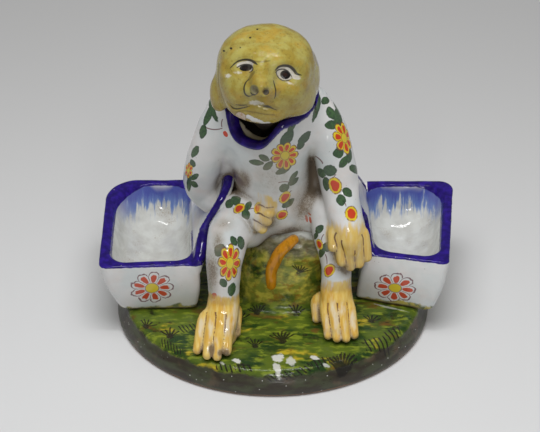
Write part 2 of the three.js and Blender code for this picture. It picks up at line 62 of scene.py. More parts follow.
# Grassy base. An oval slab pressed in a mould, hollow below, with a rock in its middle that the
# monkey sits on. It is painted with grass in greens, yellow and manganese, and its side is dark.
PLINTH = {"x": -4.0, "half_width": 81.0, "half_depth": 71.0, "height": 13.0, "foot_rim": 9.8,
          "recess": 6.2, "round": 3.2, "foot_round": 0.8, "recess_round": 1.2, "wave": 0.25}
PLINTH_INSET = [(0.0, 0.9), (1.5, 0.2), (3.5, 0.5), (6.5, 1.6), (9.5, 3.2), (11.5, 4.0), (13.0, 4.2)]
GROUND = PLINTH["height"]
MOUND = {"x": 2.0, "y": 9.0, "half_width": 25.0, "half_depth": 22.0, "height": 48.6, "round": 4.0,
         "lumps": 0.5, "fillet": 7.0}
SLOPE = {"at": (0.5, -5.0, 21.0), "half": (22.0, 14.0, 26.0), "fillet": 9.0}
CREST = {"at": (8.0, -5.5, 45.0), "half": (19.5, 10.0, 10.5), "fillet": 6.0}
# The rock's width as a share of its foot, and how far up that is
MOUND_HEAP = [(1.0, 0.0), (0.97, 0.2), (0.9, 0.45), (0.78, 0.68), (0.58, 0.87), (0.3, 0.98)]


def flow(a, b, width):
    """Two pieces of wet clay run into each other; the fillet is about this wide."""
    lap = np.maximum(width - np.abs(a - b), 0.0) / width
    return np.minimum(a, b) - lap * lap * width * 0.25


def carve(a, b, width):
    """Clay with a hollow taken out of it, and an eased edge."""
    return -flow(-a, b, width)


def turned(a, b, radius):
    """The corner where two sides meet, rounded to a radius."""
    reach = np.hypot(np.maximum(a + radius, 0.0), np.maximum(b + radius, 0.0)) - radius
    return np.where((a > -radius) & (b > -radius), reach, np.maximum(a, b))


def uneven(points, size, seed):
    """Slow unevenness of hand-made clay, about -1 to 1."""
    chance = np.random.default_rng(seed)
    total = np.zeros(len(points))
    for octave in range(2):
        for _ in range(5):
            way = chance.normal(size=3)
            way *= 2 * math.pi / (size * 0.45 ** octave * np.linalg.norm(way))
            total += 0.5 ** octave * np.sin(points @ way + chance.uniform(0, 6.28))
    return total / 3.5


def slope(field, points, step=0.12):
    """How fast a field rises along x, y and z."""
    moves = np.eye(3) * step
    return np.stack([(field(points + m) - field(points - m)) / (2 * step) for m in moves], -1)


# A line of sight starts this far in front of the aim, and takes this many short steps
SIGHT_START, SIGHT_STEPS = 130.0, 110


def touch(field, spots, turn=0.0):
    """Where lines of sight through picture points meet a surface, and its normals there.
    With a turn, the picture is taken from that many degrees round the object."""
    spots = np.array(spots, float)
    ray = (SIDEWAYS * (spots[:, :1] - FRAME_W / 2) / ZOOM
           + UPWARD * (FRAME_H / 2 - spots[:, 1:2]) / ZOOM - BACKWARD)
    ray /= np.linalg.norm(ray, axis=1, keepdims=True)
    c, s = math.cos(math.radians(turn)), math.sin(math.radians(turn))
    spin = np.array([[c, -s, 0], [s, c, 0], [0, 0, 1.0]])
    start = AIM + (EYE - AIM) @ spin.T
    ray = ray @ spin.T
    along = np.full(len(spots), DISTANCE - SIGHT_START)
    for _ in range(SIGHT_STEPS):
        gap = field(start + ray * along[:, None])
        along += np.clip(gap, -3.0, 9.0) * 0.8
    at = start + ray * along[:, None]
    normal = slope(field, at)
    normal /= np.linalg.norm(normal, axis=1, keepdims=True)
    return at, normal, ray, spin


CORNERS = [(i, j, k) for i in (0, 1) for j in (0, 1) for k in (0, 1)]
EDGES = [(a, b) for a in range(8) for b in range(a + 1, 8)
         if sum(abs(m - n) for m, n in zip(CORNERS[a], CORNERS[b])) == 1]
# A coarse grid of this many steps finds the blocks near the surface. Only these get fine values,
# worked out so many at once, and the others get a value that is far outside or inside.
COARSE, AT_ONCE, FAR = 4, 200000, 9.0


def near_surface(field, low, blocks, step):
    """A field on a fine grid, worked out only in the blocks that the surface may pass through."""
    x, y, z = np.meshgrid(*[low[k] + step * COARSE * np.arange(blocks[k] + 1) for k in range(3)],
                          indexing="ij")
    rough = field(np.stack([x.ravel(), y.ravel(), z.ravel()], -1)).reshape(blocks + 1)
    least = np.min([np.abs(rough[i:i + blocks[0], j:j + blocks[1], k:k + blocks[2]])
                    for i, j, k in CORNERS], 0)
    close = least < step * COARSE * 1.5
    spread = lambda values: values.repeat(COARSE, 0).repeat(COARSE, 1).repeat(COARSE, 2)
    values = np.full(blocks * COARSE + 1, FAR)
    values[:-1, :-1, :-1] = spread(np.where(rough[:-1, :-1, :-1] < 0, -FAR, FAR))
    fine = np.zeros(values.shape, bool)
    held = spread(close)
    for i, j, k in CORNERS:
        fine[i:i + held.shape[0], j:j + held.shape[1], k:k + held.shape[2]] |= held
    where = np.argwhere(fine)
    batches = np.array_split(where, max(1, len(where) // AT_ONCE))
    values[fine] = np.concatenate([field(low + step * batch) for batch in batches])
    return values


def crossed_cells(values):
    """Where the surface passes through each cell that it crosses, in steps, and each cell's number."""
    cells = tuple(np.array(values.shape) - 1)
    part = lambda source, c: source[tuple(slice(c[m], c[m] + cells[m]) for m in range(3))]
    full = sum(part(values < 0, c).astype(np.int8) for c in CORNERS)
    mixed = (full > 0) & (full < 8)
    where = np.argwhere(mixed)
    index = np.full(cells, -1, np.int64)
    index[mixed] = np.arange(len(where))
    corner = np.stack([part(values, c)[mixed] for c in CORNERS], 1)
    total, hits = np.zeros((len(where), 3)), np.zeros(len(where))
    for a, b in EDGES:
        va, vb = corner[:, a], corner[:, b]
        cross = (va < 0) != (vb < 0)
        t = np.where(cross, va / np.where(cross, va - vb, 1.0), 0.0)[:, None]
        ca, cb = np.array(CORNERS[a]), np.array(CORNERS[b])
        total += np.where(cross[:, None], ca + t * (cb - ca), 0.0)
        hits += cross
    return where + total / hits[:, None], index


def faces_round(inside, index):
    """Four-sided faces that join the cells round each crossed edge of the grid, facing outward."""
    quads = []
    for k in range(3):
        a, b = (k + 1) % 3, (k + 2) % 3
        near = [slice(1, size - 1) for size in inside.shape]
        near[k] = slice(0, inside.shape[k] - 1)
        next_to = list(near)
        next_to[k] = slice(1, inside.shape[k])
        here = inside[tuple(near)]
        at = np.argwhere(here != inside[tuple(next_to)])
        leaving = here[tuple(at.T)]
        at = at + np.array([0 if m == k else 1 for m in range(3)])
        ring = []
        for da, db in ((-1, -1), (0, -1), (0, 0), (-1, 0)):
            cell = at.copy()
            cell[:, a] += da
            cell[:, b] += db
            ring.append(index[tuple(cell.T)])
        ring = np.stack(ring, 1)
        ring[~leaving] = ring[~leaving][:, ::-1]
        quads.append(ring)
    return np.vstack(quads)


def skin(name, field, low, high, step):
    """A closed mesh of four-sided faces on the surface of a field, relaxed onto it. It returns the
    piece, its points, their normals and the corners of its faces."""
    low = np.array(low, float)
    blocks = np.ceil((np.array(high, float) - low) / (step * COARSE)).astype(int)
    values = near_surface(field, low, blocks, step)
    places, index = crossed_cells(values)
    quads = faces_round(values < 0, index)
    points = low + step * places
    for _ in range(2):
        lean = slope(field, points)
        move = lean * (field(points) / np.maximum((lean * lean).sum(1), 0.15))[:, None]
        length = np.linalg.norm(move, axis=1, keepdims=True)
        points = points - move * np.minimum(1.0, 0.5 * step / np.maximum(length, 1e-9))
    mesh = bpy.data.meshes.new(name)
    mesh.vertices.add(len(points))
    mesh.vertices.foreach_set("co", (points * MM).astype(np.float32).ravel())
    mesh.loops.add(quads.size)
    mesh.loops.foreach_set("vertex_index", quads.ravel().astype(np.int32))
    mesh.polygons.add(len(quads))
    mesh.polygons.foreach_set("loop_start", np.arange(0, quads.size, 4, dtype=np.int32))
    mesh.polygons.foreach_set("use_smooth", np.ones(len(quads), bool))
    mesh.update(calc_edges=True)
    piece = bpy.data.objects.new(name, mesh)
    bpy.context.scene.collection.objects.link(piece)
    normal = slope(field, points)
    normal /= np.maximum(np.linalg.norm(normal, axis=1, keepdims=True), 1e-6)
    return piece, points, normal, quads


def note(piece, **numbers):
    """Keeps numbers for each point of a mesh, for its paint to read."""
    for name, values in numbers.items():
        layer = piece.data.attributes.new(name, "FLOAT", "POINT")
        layer.data.foreach_set("value", np.asarray(values, np.float32))


class Tone:
    """A number or colour in a paint, which can be added up like any other."""

    def __init__(self, paint, socket):
        self.paint, self.socket = paint, socket

    def __add__(self, other):
        return self.paint.sum("ADD", self, other)

    def __sub__(self, other):
        return self.paint.sum("SUBTRACT", self, other)

    def __rsub__(self, other):
        return self.paint.sum("SUBTRACT", other, self)

    def __mul__(self, other):
        return self.paint.sum("MULTIPLY", self, other)

    def __truediv__(self, other):
        return self.paint.sum("DIVIDE", self, other)

    __radd__ = __add__

    def power(self, exponent):
        return self.paint.sum("POWER", self, exponent)

    def size(self):
        return self.paint.sum("ABSOLUTE", self)

    def least(self, other):
        return self.paint.sum("MINIMUM", self, other)

    def most(self, other):
        return self.paint.sum("MAXIMUM", self, other)

    def rise(self, low, high):
        """0 at low and 1 at high, eased between."""
        node = self.paint.nodes.new("ShaderNodeMapRange")
        node.interpolation_type = "SMOOTHSTEP"
        self.paint.feed(node.inputs["Value"], self)
        node.inputs["From Min"].default_value = low
        node.inputs["From Max"].default_value = high
        return Tone(self.paint, node.outputs["Result"])


class Paint:
    """A fired finish: colours mixed by noise and by the numbers kept in the mesh."""

    def __init__(self, name):
        self.material = bpy.data.materials.new(name)
        self.material.use_nodes = True
        self.tree = self.material.node_tree
        self.nodes = self.tree.nodes
        self.nodes.clear()
        self.glaze = self.nodes.new("ShaderNodeBsdfPrincipled")
        out = self.nodes.new("ShaderNodeOutputMaterial")
        self.tree.links.new(self.glaze.outputs["BSDF"], out.inputs["Surface"])
        place = self.nodes.new("ShaderNodeTexCoord").outputs["Object"]
        scale = self.nodes.new("ShaderNodeVectorMath")
        scale.operation = "SCALE"
        self.tree.links.new(place, scale.inputs[0])
        scale.inputs["Scale"].default_value = 1.0 / MM
        self.place = Tone(self, scale.outputs[0])
        self.x, self.y, self.z = self.parts(self.place)

    def feed(self, socket, value):
        if isinstance(value, Tone):
            self.tree.links.new(value.socket, socket)
        elif isinstance(value, tuple) and len(value) == 3 and len(socket.default_value) == 4:
            socket.default_value = (*value, 1.0)
        else:
            socket.default_value = value

    def sum(self, kind, *values):
        node = self.nodes.new("ShaderNodeMath")
        node.operation = kind
        for socket, value in zip(node.inputs, values):
            self.feed(socket, value)
        return Tone(self, node.outputs[0])

    def parts(self, vector):
        node = self.nodes.new("ShaderNodeSeparateXYZ")
        self.feed(node.inputs[0], vector)
        return [Tone(self, socket) for socket in node.outputs]

    def kept(self, name):
        """A number that note() kept."""
        node = self.nodes.new("ShaderNodeAttribute")
        node.attribute_name = name
        return Tone(self, node.outputs["Fac"])

    def kept_place(self, name):
        """The three numbers that keep_stamps() kept."""
        node = self.nodes.new("ShaderNodeAttribute")
        node.attribute_name = name
        return self.parts(Tone(self, node.outputs["Vector"]))

    def placed(self, scale, shift):
        """The place of each point in millimetres, scaled and shifted for a pattern."""
        move = self.nodes.new("ShaderNodeVectorMath")
        move.operation = "MULTIPLY_ADD"
        self.feed(move.inputs[0], self.place)
        move.inputs[1].default_value = scale
        move.inputs[2].default_value = shift
        return Tone(self, move.outputs[0])

    def noise(self, size, stretch=(1.0, 1.0, 1.0), detail=3.0, rough=0.55, shift=0.0):
        """Cloudy variation from 0 to 1, with spots of about this size in millimetres."""
        node = self.nodes.new("ShaderNodeTexNoise")
        scale = tuple(1.0 / (size * s) for s in stretch)
        self.feed(node.inputs["Vector"], self.placed(scale, (shift, shift * 0.7, shift * 1.3)))
        node.inputs["Scale"].default_value = 1.0
        node.inputs["Detail"].default_value = detail
        node.inputs["Roughness"].default_value = rough
        return Tone(self, node.outputs["Fac"])

    def specks(self, size, share, shift=0.0):
        """Scattered small dots, 1 inside a dot."""
        node = self.nodes.new("ShaderNodeTexVoronoi")
        self.feed(node.inputs["Vector"], self.placed((1.0 / size,) * 3, (shift,) * 3))
        node.inputs["Scale"].default_value = 1.0
        return Tone(self, node.outputs["Distance"]).rise(share, share * 0.6)

    def mix(self, share, under, over):
        node = self.nodes.new("ShaderNodeMix")
        node.data_type = "RGBA"
        self.feed(node.inputs["Factor"], share)
        self.feed(node.inputs[6], under)
        self.feed(node.inputs[7], over)
        return Tone(self, node.outputs[2])

    def coats(self, colour, *layers):
        """A colour with others brushed over it in turn, each with the share that it covers."""
        for share, over in layers:
            colour = self.mix(share, colour, over)
        return colour

    def fire(self, colour, roughness, height=None, depth=0.1):
        """Joins the colours to the shader. Height is in millimetres times depth."""
        self.feed(self.glaze.inputs["Base Color"], colour)
        self.feed(self.glaze.inputs["Roughness"], roughness)
        self.glaze.inputs["IOR"].default_value = 1.5
        if height is not None:
            bump = self.nodes.new("ShaderNodeBump")
            bump.inputs["Distance"].default_value = depth * MM
            bump.inputs["Strength"].default_value = 1.0
            self.feed(bump.inputs["Height"], height)
            self.tree.links.new(bump.outputs["Normal"], self.glaze.inputs["Normal"])
        return self.material


# A mark reaches the faces that lie less than this far in front of its surface or behind it
MARK_DEPTH = 7.0


def stamp(field, marks, turn=0.0):
    """Lays painted marks on a surface. A mark is x, y, half length, half width, angle and kind, in
    picture points and degrees. Each becomes its centre, the sums that turn a place into its own
    lengthwise, crosswise and outward measures, and its kind."""
    at, normal, ray, spin = touch(field, [mark[:2] for mark in marks], turn)
    laid = []
    for (_, _, long, wide, angle, kind), centre, n, view in zip(marks, at, normal, ray):
        facing = min(float(view @ n), -0.34)
        axes = []
        for size, way in ((long, angle), (wide, angle + 90.0)):
            drawn = math.cos(math.radians(way)) * SIDEWAYS + math.sin(math.radians(way)) * UPWARD
            drawn = spin @ drawn
            axes.append((drawn - view * (drawn @ n) / facing) * size * POINT)
        laid.append((centre, np.linalg.inv(np.stack([*axes, n], 1)), kind))
    return laid


def keep_stamps(piece, field, points, quads, name, front, behind=()):
    """Keeps, at each corner of each face, where it lies on the painted mark nearest to that face."""
    laid = stamp(field, front) + (stamp(field, behind, 180.0) if behind else [])
    middle = points[quads].mean(1)
    best = np.full(len(quads), 1e9)
    chosen = np.zeros(len(quads), int)
    for k, (centre, sums, _) in enumerate(laid):
        u, v, w = sums @ (middle - centre).T
        far = u * u + v * v + np.where(np.abs(w) > MARK_DEPTH, 1e6, 0.0)
        nearer = far < best
        best[nearer], chosen[nearer] = far[nearer], k
    centres = np.array([mark[0] for mark in laid])[chosen]
    sums = np.array([mark[1] for mark in laid])[chosen]
    local = np.einsum("fij,fcj->fci", sums, points[quads] - centres[:, None])
    local[:, :, 2] = np.array([mark[2] for mark in laid])[chosen][:, None]
    local[best > 1e5] = (9.0, 9.0, 0.0)
    layer = piece.data.attributes.new(name, "FLOAT_VECTOR", "CORNER")
    layer.data.foreach_set("vector", np.clip(local, -9, 9).astype(np.float32).ravel())


def crevice(field, points, normal, reaches=(1.5, 3.5, 7.0)):
    """How closed in each point is, from 0 in the open to about 1 in a corner."""
    shut = np.zeros(len(points))
    for reach in reaches:
        shut += np.clip(1.0 - field(points + normal * reach) / reach, 0, 1) / len(reaches)
    return shut


def mound(points):
    z = points[:, 2]
    levels = [GROUND + rise * (MOUND["height"] - GROUND) for _, rise in MOUND_HEAP]
    share = np.interp(z, levels, [wide for wide, _ in MOUND_HEAP])
    rx, ry = share * MOUND["half_width"], share * MOUND["half_depth"]
    dx, dy = points[:, 0] - MOUND["x"], points[:, 1] - MOUND["y"]
    side = (np.hypot(dx / rx, dy / ry) - 1) * np.minimum(rx, ry) * 0.8
    return turned(side, z - MOUND["height"], MOUND["round"])


def base_clay(points):
    """Foot rim, slab, rock, and the slope and crest of clay in front of the monkey's seat."""
    z = points[:, 2]
    inset = np.interp(z, [level for level, _ in PLINTH_INSET], [i for _, i in PLINTH_INSET])
    dx, dy = points[:, 0] - PLINTH["x"], points[:, 1]
    ring = np.hypot(dx / (PLINTH["half_width"] - inset), dy / (PLINTH["half_depth"] - inset))
    side = (ring - 1) * PLINTH["half_depth"]
    wave = np.cos(3 * np.arctan2(dy, dx) + 1) + uneven(points * [1, 1, 0], 26, 3)
    slab = turned(side, z - GROUND + PLINTH["wave"] * wave, PLINTH["round"])
    slab = turned(slab, -z, PLINTH["foot_round"])
    body = flow(slab, mound(points) + MOUND["lumps"] * uneven(points, 14, 5), MOUND["fillet"])
    for form in (SLOPE, CREST):
        heap = (np.linalg.norm((points - form["at"]) / form["half"], axis=1) - 1) * form["half"][1]
        body = flow(body, heap, form["fillet"])
    under = turned(side + PLINTH["foot_rim"], z - PLINTH["recess"], PLINTH["recess_round"])
    return carve(body, under, PLINTH["foot_round"])


base, points, normal, quads = skin("grassy_base", base_clay, (-88, -74, -1.5), (80, 74, 58), step=1.0)
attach(base, "figure")
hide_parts("base_plinth", "seat_mound")

# Grass drawn in manganese, as x, y, half width, half height and angle in picture points. The last
# number is the strokes: above 0 they fan out from one root, and below 0 they stand in a row.
TUFTS = [(257, 308, 9, 6, 5, 7), (297, 308, 9, 6, -10, 6), (301, 268, 8, 5, -15, 7),
         (282, 335, 10, 6, 5, 7), (171, 346, 12, 4.5, -28, -7), (188, 328, 11, 4.5, 8, -6),
         (170, 331, 9, 6, 0, 5), (341, 358, 13, 10, 5, 9), (377, 343, 12, 7, 12, -5),
         (392, 334, 9, 7, 20, -4), (372, 317, 9, 5, -10, 5), (226, 368, 10, 4.5, -12, -4),
         (244, 367, 8, 4, 0, -3), (283, 376, 15, 5, 10, -6), (303, 370, 9, 5, 25, -4),
         (255, 341, 8, 5, 0, 5), (240, 315, 8, 5, 0, 5), (214, 352, 9, 5, -10, 5),
         (320, 362, 9, 5, 10, -4), (148, 322, 8, 5, -20, 5)]
BACK_TUFTS = [(190, 345, 11, 6, 0, 6), (250, 352, 12, 7, 5, 7), (320, 350, 11, 6, -5, 6),
              (225, 330, 10, 6, 0, 5), (290, 374, 12, 5, 10, -5), (355, 350, 10, 6, 12, 5)]
# Painted highlights along the bumpy front edge, and places where the white glaze shows through the green
# there
BARE_AND_GLINTS = [(236, 360.5, 6, 2.4, -20, 1), (278, 358, 6.5, 4, 10, 1), (277, 368, 3.4, 6, 30, .9),
        (291, 361, 6, 4.4, -50, .8), (315, 358, 5.5, 2, -15, 1), (326, 365, 3.6, 2, -30, .7),
        (389, 307.5, 20, 0.9, -12, .4), (222, 363, 3, 1.4, -30, .6), (209, 356, 2, 1.4, 0, .7)]

keep_stamps(base, base_clay, points, quads, "tuft", TUFTS, BACK_TUFTS)
keep_stamps(base, base_clay, points, quads, "bare", BARE_AND_GLINTS)
note(base, shut=crevice(base_clay, points, normal))

GRASS = {"deep": (0.016, 0.042, 0.008), "green": (0.085, 0.125, 0.013), "light": (0.20, 0.25, 0.022),
         "ochre": (0.42, 0.33, 0.022), "brown": (0.13, 0.062, 0.014), "soot": (0.018, 0.016, 0.009),
         "moss": (0.25, 0.28, 0.04), "straw": (0.58, 0.51, 0.07), "rust": (0.27, 0.14, 0.016),
         "rock": (0.085, 0.07, 0.04), "stone": (0.27, 0.25, 0.16), "bald": (0.44, 0.45, 0.42),
         "black": (0.034, 0.027, 0.018), "olive": (0.050, 0.056, 0.028), "umber": (0.105, 0.070, 0.042),
         "dust": (0.5, 0.5, 0.47), "clay": (0.30, 0.17, 0.10), "ink": (0.012, 0.010, 0.008),
         "white": (0.60, 0.60, 0.56), "shade_and_dirt": (0.024, 0.020, 0.011)}

grass = Paint("painted_grass")
wide = grass.noise(9, (1.9, 1.0, 1.0), 4)
fine = grass.noise(2.6, (2.6, 1.0, 1.2), 4, shift=7)
patch = grass.noise(15, (1.3, 1.0, 1.0), 3, shift=13).rise(0.56, 0.66) * fine.rise(0.38, 0.55)
brown = grass.noise(7, (1.8, 1.0, 1.0), 4, shift=29).rise(0.56, 0.68)
soot = grass.noise(5, (1.5, 1.0, 1.0), 4, shift=41).rise(0.6, 0.7)
sunny = grass.z.rise(14.5, 20) * grass.noise(8, detail=4, shift=17).rise(0.34, 0.56)
rust = grass.z.rise(15, 22) * grass.noise(5.5, detail=4, shift=27).rise(0.53, 0.63)
rock = (grass.z + grass.noise(7, detail=4, shift=3) * 16).rise(49, 56)
bald = (grass.z + grass.noise(6, detail=4, shift=8) * 9).rise(56, 59)
edge = (grass.z + (grass.noise(6, shift=2) - 0.5) * 4.0).rise(11.4, 9.8)
band = grass.coats(
    grass.mix(grass.noise(5, (2.2, 2.2, 0.8), 4, shift=51).rise(0.4, 0.64), GRASS["black"], GRASS["olive"]),
    (grass.noise(9, shift=61).rise(0.55, 0.7) * 0.6, GRASS["umber"]),
    (grass.specks(3.1, 0.11, 5.0), GRASS["dust"]))
clay_line = (grass.z + (grass.noise(11, shift=71) - 0.5) * 1.6).rise(1.5, 0.7)
u, v, strokes = grass.kept_place("tuft")
sway = (grass.noise(3.0, detail=2, shift=91) - 0.5) * 0.5
root = (u * u + (v + 1.0) * (v + 1.0)).power(0.5)
turn = (grass.sum("ARCTAN2", u, v + 1.0) + sway * 0.4) * strokes * 0.5
across = (turn - grass.sum("ROUND", turn)).size() * root / strokes * 2.0
spread = (turn / strokes * 2.0).size().rise(1.0, 0.9)
fan = across.rise(0.13, 0.06) * (root + sway * 2.6).rise(1.6, 1.4) * spread
fan = fan.most((root + sway).rise(0.5, 0.3) * fine.rise(0.4, 0.5))
pace = (u + v * 0.25 + sway * 0.3) * strokes * 0.5
row = (pace - grass.sum("ROUND", pace)).size().rise(0.24, 0.13) * (v.size() + sway * 2.2).rise(0.9, 0.7)
row = row * u.size().rise(1.05, 0.95)
blade = grass.sum("GREATER_THAN", strokes, 0.0) * fan + grass.sum("LESS_THAN", strokes, 0.0) * row
# The white marks on the front edge: painted highlights, in part bare white glaze
u, v, glint_and_bare = grass.kept_place("bare")
ragged = (grass.noise(2.6, detail=4, shift=95) - 0.5) * 2.0
glints_and_bare_glaze = ((u * u + v * v).power(0.5) + ragged).rise(1.05, 0.65) * glint_and_bare
colour = grass.coats(
    grass.mix(wide.rise(0.36, 0.58), GRASS["deep"], GRASS["green"]),
    (fine.rise(0.5, 0.66) * 0.85, GRASS["light"]),
    (patch, GRASS["ochre"]),
    (brown * 0.8, GRASS["brown"]),
    (soot * 0.8, GRASS["soot"]),
    (sunny * 0.85, grass.mix(fine.rise(0.4, 0.62), GRASS["moss"], GRASS["straw"])),
    (rust * 0.7, GRASS["rust"]),
    (rock * 0.85, grass.mix(fine.rise(0.4, 0.7), GRASS["rock"], GRASS["stone"])),
    (bald * 0.85, GRASS["bald"]),
    (edge, band),
    (clay_line, GRASS["clay"]),
    (blade * 0.9, GRASS["ink"]),
    (glints_and_bare_glaze * 0.92, GRASS["white"]),
    # Painted shade only: darker in the sheltered places round the rock and at the feet of the figure and
    # the salts
    (grass.kept("shut").rise(0.5, 0.95) * 0.6, GRASS["shade_and_dirt"]))
shine = fine * 0.2 + clay_line * 0.5 + edge * 0.12 + 0.09
base.data.materials.append(grass.fire(colour, shine, wide + fine * (1.0 - edge) * 0.6, 0.5))


# Salts. Two open boxes with rounded wells, pressed in a mould and luted to the base. The inner
# side of each runs up in a wing to the monkey's armpit. The rims and wing edges are cobalt blue.
SALT = {"walls": (4.6, 4.6, 4.6, 2.6), "rim": 42.0, "back_rise": 1.2, "floor": 21.5, "belly": 1.3,
        "well_round": 11.0, "rim_round": 1.6, "wing_fillet": 2.6}
# How far the well's sides stand in at shares of the height
WELL_LEVELS, WELL_BULGE = [0.25, 0.5, 0.8, 1.0], [3.0, 1.2, 0.5, 0.0]
# Corners from the front inner one round by the outer side, as x and y, with their rounding. A bloom
# is x, y, half length, half width and angle in picture points, and its number of petals.
SALTS = [
    {"side": -1, "name": "right_salt_box", "nodes": ("right_salt", "right_wing"),
     "rim": [(-41, -18.5), (-91.5, -21.5), (-92, 52.5), (-45, 52.5)],
     "foot": [(-43, -19), (-82, -20), (-80, 46), (-49, 46)], "rounds": [2.0, 4.5, 17, 7],
     "low": (-95, -25, 11.5), "high": (-22, 56, 83),
     "front_bloom": (152, 288.1, 22.5, 15.6, 4, 9), "back_bloom": (151, 290, 21, 15, 0, 9)},
    {"side": 1, "name": "left_salt_box", "nodes": ("left_salt", "left_wing"),
     "rim": [(44.5, -10.3), (84.5, -18), (92, 51.5), (41, 51.5)],
     "foot": [(38.5, -11), (77, -21.5), (80, 45), (46.5, 45)], "rounds": [2.0, 3.5, 8, 7],
     "low": (25, -22, 11.5), "high": (95, 55, 83),
     "front_bloom": (395.1, 288.1, 21.5, 14.7, -8, 8), "back_bloom": (396, 290, 21, 15, 0, 9)},
]
WING_HALF, WING_FOOT = 2.7, 1.0
# The wing's edge, as how far back, how far inward and how far above the rim
WING_EDGE = [(1.5, 0.3, 2.2), (5, 1.8, 7.8), (7.5, 2.6, 13), (9, 5, 18.5), (10.5, 8.5, 24.5),
             (12.5, 12, 30), (15.5, 14.8, 34.3), (19.5, 16.3, 36.8), (24, 16.7, 38), (29, 15.5, 35),
             (34, 12, 29), (39, 7.5, 20), (46, 3.5, 9), (54, 1.5, 2.4)]


def four_sided(points, salt, share, insets, extra=0.0):
    """Distance to the side of a four-cornered form with rounded corners, set in on each side."""
    foot, rim = np.array(salt["foot"], float), np.array(salt["rim"], float)
    corners = foot + (rim - foot) * share[:, None, None]
    p = points[:, :2]
    sides = []
    for k in range(4):
        a, b = corners[:, k], corners[:, (k + 1) % 4]
        along = (b - a) / np.linalg.norm(b - a, axis=1, keepdims=True)
        out = np.stack([along[:, 1], -along[:, 0]], -1) * (1 if salt["side"] > 0 else -1)
        sides.append(((p - a) * out).sum(1) + insets[k])
    total = np.full(len(points), -50.0)
    for k in range(4):
        radius = max(salt["rounds"][k] + extra, 2.4 * extra)
        total = np.maximum(total, turned(sides[k - 1], sides[k], radius))
    return total


def rim_level(points, salt):
    front, back = salt["rim"][0][1], salt["rim"][3][1]
    return SALT["rim"] + SALT["back_rise"] * np.clip((points[:, 1] - front) / (back - front), 0, 1)


def path_of(stations, steps=6):
    """A smooth line through stations of any number of values."""
    p = np.array(stations, float)
    p = np.vstack([2 * p[0] - p[1], p, 2 * p[-1] - p[-2]])
    t = np.linspace(0, 1, steps, endpoint=False)[:, None]
    runs = [0.5 * (2 * b + (c - a) * t + (2 * a - 5 * b + 4 * c - d) * t ** 2
                   + (3 * b - a - 3 * c + d) * t ** 3)
            for a, b, c, d in zip(p, p[1:], p[2:], p[3:])]
    return np.vstack(runs + [p[-2:-1]])


def wing_lines(points, salt):
    """The wing's foot and edge beside each point, as x, height, x, height."""
    front, back = np.array(salt["rim"][0], float), np.array(salt["rim"][3], float)
    edge = path_of(WING_EDGE, 4)
    step = points[:, 1] - front[1]
    inward, rise = (np.interp(step, edge[:, 0], edge[:, k]) for k in (1, 2))
    share = np.clip(step / (back[1] - front[1]), 0, 1)
    x = front[0] + (back[0] - front[0]) * share + salt["side"] * WING_FOOT
    low = SALT["rim"] + SALT["back_rise"] * share
    straight = np.where(inward < 4, (x - front[0]) * 0.6, salt["side"] * WING_HALF * 0.6)
    return x, low, front[0] - salt["side"] * inward + straight, low + rise, step


def wing_clay(points, salt):
    x, low, top_x, top, step = wing_lines(points, salt)
    half = np.minimum(WING_HALF, 0.45 * (top - low) + 0.9)
    a = np.stack([x, low - 3.0], -1)
    ab = np.stack([top_x, top - half], -1) - a
    p = points[:, [0, 2]] - a
    t = np.clip((p * ab).sum(1) / (ab * ab).sum(1), 0, 1)
    gap = np.linalg.norm(p - t[:, None] * ab, axis=1) - half
    ends = np.maximum(WING_EDGE[0][0] - 1 - step, step - WING_EDGE[-1][0] - 1)
    return np.maximum(gap * 0.85, ends)


def up_the_box(points):
    """How far up a salt's side each point is, from 0 on the ground to 1 at the rim."""
    return np.clip((points[:, 2] - GROUND) / (SALT["rim"] - GROUND), 0, 1)


def salt_clay(points, salt):
    z = points[:, 2]
    share = up_the_box(points)
    belly = SALT["belly"] * np.sin(math.pi * share) - 1.2 * np.clip(1 - share / 0.06, 0, 1)
    top = z - rim_level(points, salt)
    box = four_sided(points, salt, share, [-belly] * 4)
    box = turned(box, GROUND - 0.6 - z, 0.6)
    bulge = np.interp(share, WELL_LEVELS, WELL_BULGE)
    well = four_sided(points, salt, share, [wall + bulge for wall in SALT["walls"]], 4.0)
    well = turned(well, SALT["floor"] - z, SALT["well_round"])
    box = turned(turned(box, top, 1.1), -well, SALT["rim_round"])
    return flow(box, wing_clay(points, salt), SALT["wing_fillet"]) + 0.12 * uneven(points, 24, 11)


def tin_white(paint):
    """Milky tin glaze, cool and warm in clouds, with pinholes."""
    clouds = paint.noise(17, detail=3).rise(0.38, 0.66)
    return paint.coats(
        paint.mix(clouds, (0.68, 0.675, 0.67), (0.60, 0.635, 0.635)),
        (paint.noise(13, shift=4).rise(0.5, 0.72) * 0.5, (0.68, 0.60, 0.56)),
        (paint.specks(4.3, 0.055, 9.0) * 0.7, (0.10, 0.07, 0.05)))


def cobalt(paint):
    """Deep blue, brushed on in a pool that is darker where it is thick."""
    thin = paint.noise(3.5, detail=4, shift=6).rise(0.35, 0.7)
    return paint.mix(thin, (0.010, 0.003, 0.105), (0.024, 0.008, 0.22))


def shade_and_dirt(paint, colour, amount=0.8):
    """A grey-brown film of painted shade on the sheltered places, and speckled grime that has settled in
    the corners, thickest where they are most closed in.
    """
    grain = paint.noise(0.8, detail=5, rough=0.8, shift=14)
    shut = paint.kept("shut") + (paint.noise(3.5, detail=3, shift=18) - 0.5) * 0.3
    held = (shut + (grain - 0.5) * 1.3).rise(0.5, 1.0)
    return paint.coats(colour, (shut.rise(0.1, 0.75) * 0.6, (0.31, 0.27, 0.21)),
                       (held * amount, (0.15, 0.10, 0.052)))


